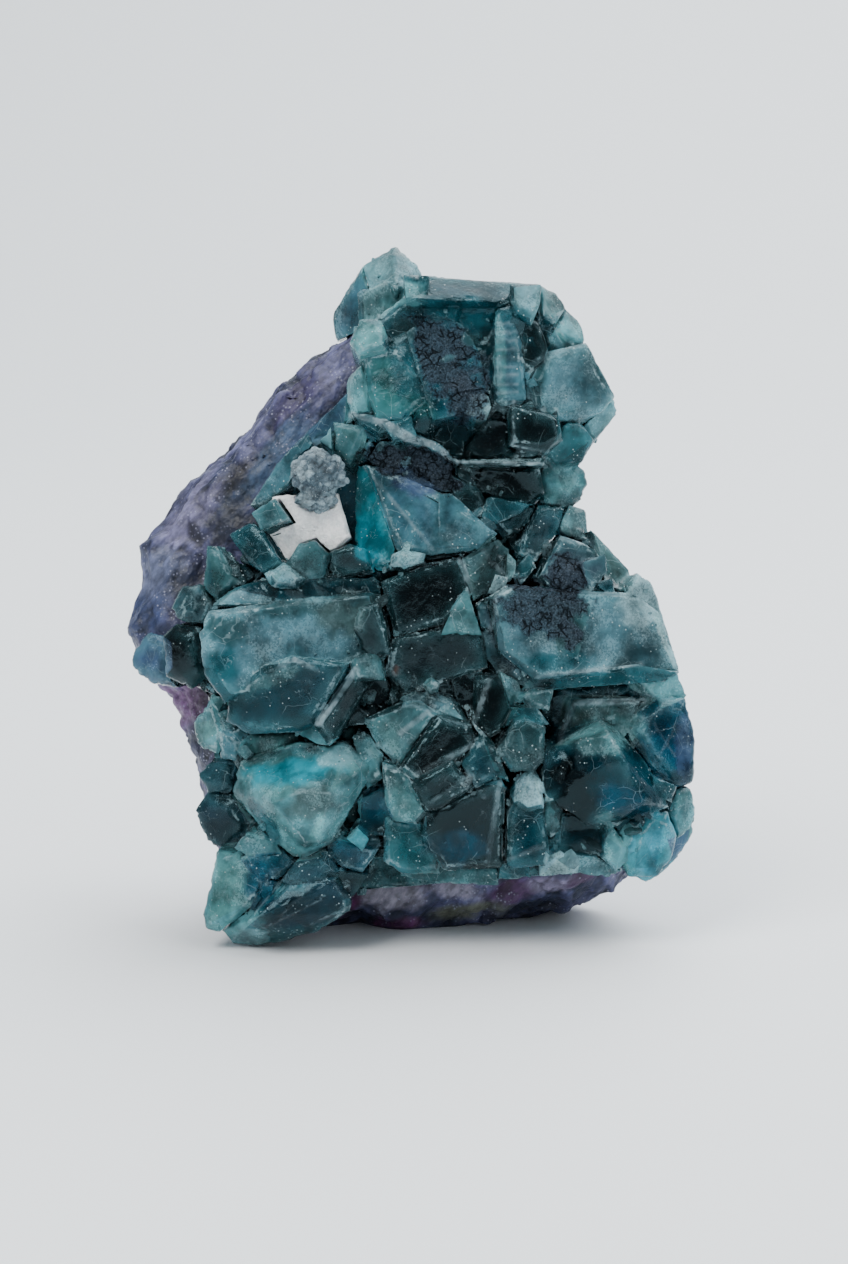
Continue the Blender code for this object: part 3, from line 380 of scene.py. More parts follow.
    ("pale_chip", Glow.TURQUOISE, (-8.5, 18.9), (1.9, 1.9)),
))


@dataclass(frozen=True)
class Strip:
    """A narrow bevel on a clear crystal, raised a little and painted pale with the light it catches: a
    painted reflection.

    Attributes:
        name: The crystal it is on.
        ends: Its two ends (u, v), in millimetres.
        width: Its width, in millimetres.
        pale: How strong its painted reflection is, 0 to 1.
    """

    name: str
    ends: tuple[Pair, Pair]
    width: float
    pale: float

    def inside(self, places: Array) -> Array:
        """Measures how far points lie inside the strip's long sides.

        Args:
            places: One (u, v, ...) in millimetres per row.

        Returns:
            The distance of each point in millimetres, negative outside.
        """
        start, end = (np.array(point) for point in self.ends)
        along = end - start
        share = np.clip(((places[:, :2] - start) @ along) / (along @ along), 0.0, 1.0)
        return self.width * 0.5 - np.linalg.norm(places[:, :2] - start - share[:, None] * along, axis=1)


STAINS: tuple[Spot, ...] = tuple(Spot(*row) for row in (
    ("etched upper face", Glow.CHARCOAL, (5.6, 100.6), (8.6, 5.6), -62),
    ("etched foot of the upper face", Glow.CHARCOAL, (9.8, 93.0), (3.6, 4.6), 10),
    ("etched wedge under the druse", Glow.CHARCOAL, (0.6, 81.4), (8.0, 3.6), -14),
    ("teal wall under the roof", Glow.TEAL, (11, 107.4), (10.5, 2.2), -5),
    ("teal left end of the block", Glow.TEAL, (-0.5, 97.0), (2.4, 7.5), 8),
    ("milk streak", Glow.MINT, (15.3, 99.4), (1.0, 6.6), 2),
    ("hazy patch in the etched face", Glow.HAZE, (6.6, 99.6), (1.6, 0.6), 20),
    ("grey top of the etched face", Glow.GREY_TEAL, (-0.8, 104.5), (2.2, 1.8)),
    ("teal inlet in the etched face", Glow.GREY_TEAL, (10.4, 103), (1.6, 1.3)),
    ("green rim below the etched face", Glow.GREEN, (1.5, 91.5), (3.5, 1.8), -20),
    ("bright end of the roof", Glow.TEAL, (0.5, 111.5), (2.6, 1.8)),
    ("pale heart of the milk streak", Glow.PALE, (15.0, 96.6), (0.8, 2.6)),
    ("mint foot of the peak", Glow.MINT, (-1, 110.5), (4, 2.2)),
    ("haze on the shoulder", Glow.HAZE, (31.5, 92.5), (4, 1.6), 40),
    ("dark rim of the shoulder", Glow.GREY_TEAL, (22, 96), (1.0, 4.5), -10),
    ("cyan foot of the blue side", Glow.CYAN, (-6.4, 69.0), (2.4, 4.8), 8),
    ("violet cloud in the lit face", Glow.LILAC, (0.5, 78.5), (4, 2), -25),
    ("grey cloud in the long slab", Glow.GREY_TEAL, (-19.5, 57.3), (6.5, 1.7), 4),
    ("grey cloud at the slab's left end", Glow.GREY_TEAL, (-30, 53.5), (3.2, 2.2)),
    ("olive right end of the slab", Glow.OLIVE, (-11, 56.5), (4.5, 3.6)),
    ("teal foot of the slab", Glow.TEAL, (-31, 47.5), (3.2, 3.4), 30),
    ("milky cloud in the second slab", Glow.MILK, (-22.5, 45.8), (4.5, 1.4), 20),
    ("turquoise band", Glow.CYAN, (-19.0, 30.2), (8.4, 2.2), 9),
    ("pale end of the turquoise crystal", Glow.PALE, (-12, 32.5), (3.4, 1.8), 10),
    ("olive heart of the turquoise crystal", Glow.OLIVE, (-16.2, 25.2), (4.4, 2.8), 20),
    ("teal rim of the turquoise crystal", Glow.TEAL, (-24.2, 21.6), (1.6, 4.4), 35),
    ("frost on the great face", Glow.WHITE, (38.5, 57.5), (3.2, 3.4), 20),
    ("teal foot of the great face", Glow.TEAL, (24, 48.4), (5, 1.7), 6),
    ("etched band of the great face", Glow.CHARCOAL, (22, 57.6), (8.0, 4.8), -6),
    ("etched tail of the great face", Glow.CHARCOAL, (27.0, 53.4), (2.0, 2.6), 10),
    ("etched corner of the slate crystal", Glow.CHARCOAL, (26.5, 63.0), (3.2, 4.2), 10),
    ("black foot of the octahedron", Glow.NIGHT, (27.5, 26.6), (3.4, 6.5), 15),
    ("mint shoulder of the octahedron", Glow.MINT, (33.5, 36.4), (6.4, 3.2), 10),
    ("deep flank of the octahedron", Glow.DEEP, (38.8, 29.5), (1.8, 5.5), 28),
    ("blue foot of the octahedron", Glow.BLUE, (36, 25.4), (4.6, 2.4), -20),
    ("violet side of the blue crystal", Glow.LILAC, (46.6, 34), (1.8, 6.5)),
    ("pale grains by the foot", Glow.MILK, (33.3, 21.6), (2.0, 1.8)),
    ("blue foot of the tall crystal", Glow.BLUE, (8.2, 17.5), (4.8, 3.0)),
    ("granular face of the hexagon", Glow.GREY_TEAL, (19.3, 33.6), (3.4, 4.4)),
    ("rusty spot", Glow.RUST, (-2.3, 47.2), (0.6, 1.1)),
    ("blue foot of the spire", Glow.BLUE, (-25.5, 10.8), (2.4, 4.2), 10),
    ("dark heart of the keel", Glow.NAVY, (-17.0, 7.6), (8.0, 3.6), 25),
    ("pale tip of the keel", Glow.PALE, (-27, 1.6), (3.4, 2.0), 15),
))


# Bevels that catch the light: each is raised a little and painted pale, a painted reflection.
STRIPS: tuple[Strip, ...] = tuple(Strip(*row) for row in (
    ("second_slab", ((-8.8, 47.2), (-15.0, 38.4)), 1.3, 0.8),
    ("second_slab", ((-21.4, 47.8), (-19.0, 49.0)), 0.9, 0.45),
    ("second_slab", ((-19.0, 49.0), (-15.1, 47.2)), 0.9, 0.45),
    ("barred_crystal", ((10.9, 38.0), (13.5, 45.4)), 1.0, 0.75),
    ("recess_crystal", ((28.3, 41.6), (39.6, 41.9)), 1.1, 0.7),
    ("recess_crystal", ((28.0, 41.2), (25.4, 35.0)), 0.8, 0.4),
    ("upper_cube", ((1.2, 29.8), (10.6, 34.6)), 1.0, 0.55),
    ("lower_cube", ((3.6, 25.2), (10.0, 29.6)), 0.8, 0.4),
    ("side_cube", ((9.6, 30.4), (12.6, 26.0)), 0.8, 0.4),
    ("tall_crystal", ((13.2, 15.0), (15.2, 28.2)), 1.0, 0.5),
    ("tall_crystal", ((2.8, 14.0), (13.2, 15.0)), 0.7, 0.3),
    ("tall_neighbour", ((16.5, 15.4), (22.5, 17.6)), 0.8, 0.4),
    ("clear_cube", ((8.7, 65.8), (10.3, 60.5)), 1.1, 0.6),
    ("clear_cube", ((12.5, 67.2), (16.4, 62.6)), 0.8, 0.45),
    ("smoky_cube", ((17.6, 92.2), (17.4, 85.0)), 0.6, 0.45),
    ("smoky_cube", ((17.4, 84.8), (23.4, 83.8)), 0.6, 0.4),
    ("jade_shard", ((-1.4, 36.6), (4.2, 41.0)), 0.9, 0.5),
    ("dark_cube", ((-3.6, 64.6), (7.2, 65.6)), 0.7, 0.35),
    ("great_sill", ((21.5, 46.0), (39.0, 48.2)), 0.7, 0.55),
    ("blue_lit", ((-7.6, 81.6), (4.0, 67.4)), 0.6, 0.4),
    ("great_face", ((14.6, 59.8), (13.8, 54.0)), 0.7, 0.35),
    *(
        ("milky_ridge", ((14.7, 93.5 + 1.45 * step), (18.2, 93.7 + 1.45 * step)), 0.5, 0.42)
        for step in range(9)
    ),
    ("druse_ledge", ((-9.9, 90.4), (-4.3, 88.7)), 1.1, 0.75),
    ("druse_ledge", ((-4.3, 88.7), (-0.4, 86.3)), 1.6, 0.85),
    ("druse_ledge", ((-0.4, 86.3), (3.8, 85.1)), 1.3, 0.85),
    ("druse_ledge", ((3.8, 85.1), (8.1, 82.2)), 1.1, 0.80),
    ("druse_shelf", ((8.1, 82.2), (23.0, 81.7)), 0.6, 0.7),
    ("roof", ((2.9, 114.4), (21.8, 112.4)), 0.5, 0.6),
    ("keel", ((-24.5, 3.8), (-14.6, 8.8)), 0.35, 0.5),
    ("keel", ((-21.5, 6.0), (-16.8, 10.4)), 0.3, 0.45),
    ("keel", ((-16.5, 4.4), (-9.6, 7.6)), 0.45, 0.55),
    ("keel", ((-14.8, 3.0), (-11.2, 3.8)), 0.4, 0.6),
    ("keel", ((-25.8, 6.4), (-20.2, 13.2)), 0.3, 0.4),
    ("blue_heart", ((41.2, 31.0), (46.0, 39.0)), 0.3, 0.35),
    ("blue_heart", ((41.4, 38.0), (45.0, 32.6)), 0.3, 0.35),
    ("block", ((-9.6, 101.8), (-10.0, 92.6)), 0.9, 0.6),
))


@dataclass(frozen=True)
class Swells:
    """Smooth chance values in space, the same on every run.

    Attributes:
        pitch: Size of the largest swells, in millimetres.
        seed: Shifts the pattern, so that two of them differ.
        octaves: How many layers are added up, each finer and half as strong as the last.
    """

    pitch: float
    seed: float
    octaves: int = 2

    FINER = 2.1

    def at(self, points: Array) -> Array:
        """Reads the values.

        Args:
            points: One point in metres per row.

        Returns:
            A value from about -1 to 1 for each point.
        """
        total = np.zeros(len(points))
        strength = 1.0
        for octave in range(self.octaves):
            scaled = points / (self.pitch * MM) * self.FINER**octave + self.seed * (1.0 + octave)
            total += strength * np.array([noise.noise(Vector(point)) for point in scaled])
            strength *= 0.5
        return total


def smooth_step(values: Array, low: float, high: float) -> Array:
    """Eases from 0 at low to 1 at high."""
    share = np.clip((values - low) / (high - low), 0.0, 1.0)
    return share * share * (3.0 - 2.0 * share)


def distance_to(points: Array, marked: Array) -> Array:
    """Measures how far each point is from the nearest marked one.

    Args:
        points: One point in metres per row.
        marked: Whether each point is marked.

    Returns:
        The distance of each point, in millimetres.
    """
    tree = KDTree(int(marked.sum()))
    for index in np.flatnonzero(marked):
        tree.insert(points[index], int(index))
    tree.balance()
    return np.array([tree.find(point)[2] for point in points]) / MM


class CellMap:
    """Space divided into irregular cells, for plates, grains and cracks.

    Attributes:
        DOME: How far a cell's dome reaches from its middle, as a share of the pitch.
        BORDER: How far a border reaches, as a share of the pitch.
    """

    DOME = 0.62
    BORDER = 0.20

    def __init__(self, points: Array, pitch: float, seed: int) -> None:
        """Scatters the cells' middles through the box round some points.

        Args:
            points: The points that will be sampled, in metres.
            pitch: Mean width of a cell, in millimetres.
            seed: Seed of the scatter.
        """
        chance = np.random.default_rng(seed)
        low, high = points.min(axis=0) - 2 * pitch * MM, points.max(axis=0) + 2 * pitch * MM
        count = int(np.prod((high - low) / (pitch * MM)))
        self.pitch = pitch
        self.heights = chance.uniform(-1.0, 1.0, count)
        self.tree = KDTree(count)
        for index, middle in enumerate(chance.uniform(low, high, (count, 3))):
            self.tree.insert(middle, index)
        self.tree.balance()

    def sample(self, points: Array, chosen: Array) -> tuple[Array, Array, Array]:
        """Reads the cells.

        Args:
            points: One point in metres per row.
            chosen: Which points to read; the others get zeros.

        Returns:
            For each point, its cell's own value from -1 to 1, how near it is to the cell's middle, 0 to 1,
            and how near it is to a border between cells, 1 on the border.
        """
        value, dome, border = np.zeros(len(points)), np.zeros(len(points)), np.zeros(len(points))
        for row in np.flatnonzero(chosen):
            near, far = self.tree.find_n(points[row], 2)
            value[row] = self.heights[near[1]]
            dome[row] = 1.0 - near[2] / MM / (self.DOME * self.pitch)
            border[row] = 1.0 - min((far[2] - near[2]) / MM / (self.BORDER * self.pitch), 1.0)
        return value, np.clip(dome, -0.5, 1.0), border


class Shape:
    """A working mesh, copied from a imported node, that gets finer and is carved in code."""

    def __init__(self, node: str) -> None:
        """Copies a node's mesh and joins its loose triangles.

        Args:
            node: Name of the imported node.
        """
        self.work = bmesh.new()
        self.work.from_mesh(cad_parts[node].data)
        bmesh.ops.remove_doubles(self.work, verts=self.work.verts, dist=0.002 * MM)
        bmesh.ops.dissolve_degenerate(self.work, edges=self.work.edges, dist=0.001 * MM)
        bmesh.ops.triangulate(self.work, faces=self.work.faces)
        self.facet = self.work.faces.layers.int.new("facet")

    def number_facets(self, flat: float) -> int:
        """Gives each flat face of the crystals a number of its own, which finer faces will keep.

        Args:
            flat: Faces that meet at less than this many degrees are one facet.

        Returns:
            How many facets there are.
        """
        limit = math.radians(flat)
        number = 0
        seen: set[int] = set()
        self.work.faces.index_update()
        for first in self.work.faces:
            if first.index in seen:
                continue
            number += 1
            queue = [first]
            seen.add(first.index)
            while queue:
                face = queue.pop()
                face[self.facet] = number
                for edge in face.edges:
                    if len(edge.link_faces) != 2 or edge.calc_face_angle(math.pi) > limit:
                        continue
                    for other in edge.link_faces:
                        if other.index not in seen:
                            seen.add(other.index)
                            queue.append(other)
        return number

    def refine(self, limit: Callable[[Array, Array], Array]) -> None:
        """Splits long edges until each is shorter than the limit for its place.

        Args:
            limit: Gives the longest edge in millimetres, for middles in metres and outward directions.
        """
        most_rounds = 8
        for _ in range(most_rounds):
            middles, length, out = self.measure_edges()
            long = np.flatnonzero(length > limit(middles, out))
            if not len(long):
                break
            self.work.edges.ensure_lookup_table()
            bmesh.ops.subdivide_edges(self.work, edges=[self.work.edges[index] for index in long], cuts=1)
            ragged = [face for face in self.work.faces if len(face.verts) > 3]
            bmesh.ops.triangulate(self.work, faces=ragged)
            self.work.normal_update()

    def measure_edges(self) -> tuple[Array, Array, Array]:
        """Measures the edges.

        Returns:
            Each edge's middle in metres, its length in millimetres and the outward direction there.
        """
        mesh = bpy.data.meshes.new("measured")
        self.work.to_mesh(mesh)
        points = np.zeros(len(mesh.vertices) * 3)
        mesh.vertices.foreach_get("co", points)
        ends = np.zeros(len(mesh.edges) * 2, np.int32)
        mesh.edges.foreach_get("vertices", ends)
        normals = np.zeros(len(mesh.polygons) * 3)
        mesh.polygons.foreach_get("normal", normals)
        sides = np.zeros(len(mesh.loops), np.int32)
        mesh.loops.foreach_get("edge_index", sides)
        bpy.data.meshes.remove(mesh)
        ends = points.reshape(-1, 3)[ends].reshape(-1, 2, 3)
        out = np.zeros((len(ends), 3))
        np.add.at(out, sides, np.repeat(normals.reshape(-1, 3), 3, axis=0))
        out /= np.maximum(np.linalg.norm(out, axis=1), 1e-6)[:, None]
        return ends.mean(axis=1), np.linalg.norm(ends[:, 0] - ends[:, 1], axis=1) / MM, out

    def points(self) -> Array:
        """Every corner's place, in metres."""
        return np.fromiter((value for vert in self.work.verts for value in vert.co), float).reshape(-1, 3)

    def normals(self) -> Array:
        """Every corner's outward direction."""
        self.work.normal_update()
        return np.fromiter((value for vert in self.work.verts for value in vert.normal), float).reshape(-1, 3)

    def move(self, shift: Array) -> None:
        """Moves every corner by its own shift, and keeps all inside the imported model's box.

        Args:
            shift: One shift in metres per corner.
        """
        low, high = np.array(MODEL_BOX[0]), np.array(MODEL_BOX[1])
        for vert, target in zip(self.work.verts, np.clip(self.points() + shift, low, high), strict=True):
            vert.co = target

    def crests(self, angle: float) -> Array:
        """Finds the corners on sharp outward edges.

        Args:
            angle: Edges that turn by at least this many degrees are sharp.

        Returns:
            Whether each corner is on one.
        """
        limit = math.radians(angle)
        self.work.verts.index_update()
        outward = np.zeros(len(self.work.verts), bool)
        for edge in self.work.edges:
            if len(edge.link_faces) == 2 and edge.calc_face_angle(0.0) >= limit and edge.is_convex:
                for vert in edge.verts:
                    outward[vert.index] = True
        return outward

    def soften(self, chosen: Array, strength: float) -> None:
        """Draws the chosen corners towards their neighbours, which blunts an edge.

        Args:
            chosen: Whether each corner takes part.
            strength: Share of the way to go.
        """
        shift = np.zeros((len(self.work.verts), 3))
        for vert in self.work.verts:
            if chosen[vert.index] and vert.link_edges:
                middle = sum((edge.other_vert(vert).co for edge in vert.link_edges), Vector())
                shift[vert.index] = (middle / len(vert.link_edges) - vert.co) * strength
        self.move(shift)

    def finish(self, name: str, sharp: float) -> bpy.types.Object:
        """Turns the working mesh into an object in the scene.

        Args:
            name: Name of the object.
            sharp: Edges that turn by more than this many degrees stay crisp.

        Returns:
            The new object.
        """
        mesh = bpy.data.meshes.new(name)
        self.work.to_mesh(mesh)
        self.work.free()
        mesh.shade_smooth()
        mesh.set_sharp_from_angle(angle=math.radians(sharp))
        made = bpy.data.objects.new(name, mesh)
        bpy.context.scene.collection.objects.link(made)
        return made


class ReliefMap:
    """How far the crystals stand proud over the face, as they are and with their narrow crevices bridged.

    Attributes:
        CORNER: The map's lower left corner (u, v), in millimetres.
        SPAN: Its width and height, in millimetres.
        PITCH: Distance between two measured places, in millimetres.
        EMPTY: The value where there is no crystal, in millimetres.
        RAY_START: How far in front of the face the measuring rays start, in millimetres.
        LOWEST_REACH: How many measured places round a place count for its lowest value.
    """

    CORNER = (-51.0, -2.0)
    SPAN = (102.0, 122.0)
    PITCH = 0.45
    EMPTY = -40.0
    RAY_START = 60.0
    LOWEST_REACH = 2

    def __init__(self, face: FaceFrame, node: str, bridge: float) -> None:
        """Measures the relief.

        Args:
            face: The specimen's face frame.
            node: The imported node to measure.
            bridge: Half the width of the widest crevice that is bridged, in millimetres.
        """
        shape = Shape(node)
        surface = BVHTree.FromBMesh(shape.work)
        shape.work.free()
        columns, rows = (int(span / self.PITCH) for span in self.SPAN)
        look = Vector(face.direction())
        self.bare = np.full((columns, rows), self.EMPTY)
        for column in range(columns):
            for row in range(rows):
                across, up = np.array(self.CORNER) + self.PITCH * np.array([column, row])
                distance = surface.ray_cast(face.place(across, up, self.RAY_START), -look)[3]
                if distance is not None:
                    self.bare[column, row] = self.RAY_START - distance / MM
        reach = round(bridge / self.PITCH)
        bridged = self.spread(self.spread(self.bare, reach, np.maximum), reach, np.minimum)
        self.floor = self.spread(bridged, self.LOWEST_REACH, np.minimum)
        self.low = self.spread(self.bare, self.LOWEST_REACH, np.minimum)

    @staticmethod
    def spread(grid: Array, reach: int, best: Callable[[Array, Array], Array]) -> Array:
        """Gives each place of a grid the best value round it.

        Args:
            grid: The grid.
            reach: How many places away a value may lie, all round.
            best: Picks the better of two values.

        Returns:
            The new grid.
        """
        result = grid.copy()
        for shift in range(-reach, reach + 1):
            for lift in range(-reach, reach + 1):
                if shift**2 + lift**2 <= reach**2 + 1:
                    result = best(result, np.roll(grid, (shift, lift), (0, 1)))
        return result

    def in_front(self, places: Array, slack: float) -> Array:
        """Says which places lie in front of the relief, or less than the slack in millimetres behind it."""
        return places[:, 2] > self.read(self.bare, places) - slack

    def read(self, grid: Array, places: Array) -> Array:
        """Reads a grid between its places.

        Args:
            grid: One of the maps.
            places: One (u, v, p) in millimetres per row.

        Returns:
            The value at each place.
        """
        at = (places[:, :2] - np.array(self.CORNER)) / self.PITCH
        at = np.clip(at, 0.0, np.array(grid.shape) - 1.001)
        whole = at.astype(int)
        part = at - whole
        column, row = whole[:, 0], whole[:, 1]
        low = grid[column, row] * (1 - part[:, 0]) + grid[column + 1, row] * part[:, 0]
        high = grid[column, row + 1] * (1 - part[:, 0]) + grid[column + 1, row + 1] * part[:, 0]
        return low * (1 - part[:, 1]) + high * part[:, 1]


def paint(mesh: bpy.types.Mesh, name: str, values: Array) -> None:
    """Writes a colour attribute: red, green, blue and alpha in linear light, one row per face corner."""
    layer = mesh.color_attributes.new(name, "FLOAT_COLOR", "CORNER")
    layer.data.foreach_set("color", np.ascontiguousarray(values, np.float32).ravel())


def loop_points(mesh: bpy.types.Mesh) -> Array:
    """Finds the point at each face corner.

    Args:
        mesh: The mesh.

    Returns:
        The point's number, for each face corner.
    """
    result = np.zeros(len(mesh.loops), np.int32)
    mesh.loops.foreach_get("vertex_index", result)
    return result


class Tree:
    """A short way to build a node tree."""

    def __init__(self, tree: bpy.types.NodeTree) -> None:
        """Takes the tree to add nodes to."""
        self.tree = tree

    def node(self, kind: str, feeds: Feeds | None = None, **settings: object) -> Node:
        """Adds a node.

        Args:
            kind: Its type.
            feeds: What its inputs get, by their names or numbers.
            settings: Its properties.

        Returns:
            The node.
        """
        made = self.tree.nodes.new(kind)
        for key, value in settings.items():
            setattr(made, key, value)
        for key, value in (feeds or {}).items():
            self.feed(made.inputs[key], value)
        return made

    def feed(self, socket: Socket, value: object) -> None:
        """Links an input to an output, or sets its value.

        Args:
            socket: The input.
            value: The output to link it to, or its value.
        """
        if isinstance(value, bpy.types.NodeSocket):
            self.tree.links.new(value, socket)
        else:
            socket.default_value = value


class ShaderTree(Tree):
    """A short way to build a material, with patterns on the object's own coordinates."""

    def __init__(self, name: str) -> None:
        """Starts an empty material.

        Args:
            name: Name of the material.
        """
        self.material = bpy.data.materials.new(name)
        self.material.use_nodes = True
        super().__init__(self.material.node_tree)
        self.tree.nodes.clear()

    def math(self, operation: str, first: object, second: object, clamp: bool = False) -> Socket:
        """Calculates with two numbers, and clamps the result to 0 to 1 if asked to."""
        made = self.node("ShaderNodeMath", {0: first, 1: second}, operation=operation, use_clamp=clamp)
        return made.outputs[0]

    def times(self, first: object, second: object, clamp: bool = False) -> Socket:
        """Multiplies two numbers."""
        return self.math("MULTIPLY", first, second, clamp)

    def plus(self, first: object, second: object, clamp: bool = False) -> Socket:
        """Adds two numbers."""
        return self.math("ADD", first, second, clamp)

    def most(self, first: object, second: object) -> Socket:
        """Takes the larger of two numbers."""
        return self.math("MAXIMUM", first, second)

    def mix(self, share: object, first: object, second: object) -> Socket:
        """Mixes two colours, with the share of the second, 0 to 1."""
        made = self.node("ShaderNodeMix", {0: share, 6: first, 7: second}, data_type="RGBA")
        return made.outputs[2]

    def scale(self, tone: Socket, share: object) -> Socket:
        """Makes a colour so many times brighter."""
        return self.node("ShaderNodeVectorMath", {0: tone, "Scale": share}, operation="SCALE").outputs[0]

    def stretch(self, value: Socket, low: float, high: float, to_low: float = 0.0,
                to_high: float = 1.0) -> Socket:
        """Maps the range from low to high onto another, smoothly."""
        feeds = {0: value, 1: low, 2: high, 3: to_low, 4: to_high}
        return self.node("ShaderNodeMapRange", feeds, interpolation_type="SMOOTHSTEP").outputs[0]

    def fade(self, value: Socket, low: float, high: float) -> Socket:
        """Falls smoothly from 1 at low to 0 at high."""
        return self.stretch(value, low, high, 1.0, 0.0)

    def grain(self, pitch: float, detail: float = 3.0, roughness: float = 0.55,
              squeeze: Vector = Vector((1, 1, 1)), turn: Vector = Vector((0, 0, 0)),
              seed: float = 0.0) -> Socket:
        """Adds a smooth noise.

        Args:
            pitch: Size of its swells, in millimetres.
            detail: How many finer layers it has.
            roughness: How strong those are.
            squeeze: How much tighter it is along each axis.
            turn: How far it is turned, in degrees.
            seed: Shifts the pattern.

        Returns:
            The noise, about 0.3 to 0.7 for the most part.
        """
        mapping = self.node("ShaderNodeMapping", {
            "Vector": self.node("ShaderNodeTexCoord").outputs["Object"],
            "Location": (seed, seed * 0.7, -seed),
            "Rotation": [math.radians(value) for value in turn],
            "Scale": [1.0 / share for share in squeeze],
        }, vector_type="TEXTURE")
        made = self.node("ShaderNodeTexNoise", {
            "Vector": mapping.outputs[0],
            "Scale": 1 / (pitch * MM),
            "Detail": detail,
            "Roughness": roughness,
        })
        return made.outputs["Fac"]

    def cells(self, pitch: float, seed: float = 0.0) -> Socket:
        """Adds round spots, a pitch in millimetres apart, and returns the distance from their middles."""
        return self.voronoi("F1", pitch, self.cell_place(seed))

    def cracks(self, pitch: float, seed: float, stir: float) -> Socket:
        """Adds wandering lines that part irregular plates.

        Args:
            pitch: Width of a plate, in millimetres.
            seed: Shifts the pattern.
            stir: How far the lines wander, in millimetres.

        Returns:
            The distance from a line, in pitches.
        """
        place = self.cell_place(seed)
        swirl = {"Vector": place, "Scale": 1.2 / (pitch * MM), "Detail": 3.0}
        wander = self.node("ShaderNodeTexNoise", swirl)
        stirred = {0: wander.outputs["Color"], 1: (stir * MM, stir * MM, stir * MM), 2: place}
        moved = self.node("ShaderNodeVectorMath", stirred, operation="MULTIPLY_ADD")
        return self.voronoi("DISTANCE_TO_EDGE", pitch, moved.outputs[0])

    def cell_place(self, seed: float) -> Socket:
        """Shifts the object's coordinates for a cell pattern.

        Args:
            seed: How far, in metres.

        Returns:
            The shifted coordinates.
        """
        place = self.node("ShaderNodeTexCoord").outputs["Object"]
        feeds = {"Vector": place, "Location": (seed, -seed, seed * 0.4)}
        return self.node("ShaderNodeMapping", feeds).outputs[0]

    def voronoi(self, feature: str, pitch: float, place: Socket) -> Socket:
        """Adds a cell texture and returns its distance."""
        feeds = {"Vector": place, "Scale": 1 / (pitch * MM)}
        return self.node("ShaderNodeTexVoronoi", feeds, feature=feature).outputs["Distance"]

    def bump(self, height: Socket, depth: float, strength: object, under: Socket | None = None) -> Socket:
        """Adds a bump.

        Args:
            height: Its height, 0 to 1.
            depth: What a height of 1 stands for, in millimetres.
            strength: How strong it is, 0 to 1.
            under: The normal that it goes on top of.

        Returns:
            The bumped normal.
        """
        feeds = {"Distance": depth * MM, "Strength": strength, "Height": height}
        if under is not None:
            feeds["Normal"] = under
        return self.node("ShaderNodeBump", feeds).outputs[0]

    def finish(self, surface: Node, volume: Node | None = None) -> bpy.types.Material:
        """Gives the material its shaders.

        Args:
            surface: The shader of its surface.
            volume: The shader of its inside.

        Returns:
            The finished material.
        """
        shaders = {"Surface": surface, "Volume": volume}
        feeds = {name: shader.outputs[0] for name, shader in shaders.items() if shader is not None}
        self.node("ShaderNodeOutputMaterial", feeds)
        return self.material


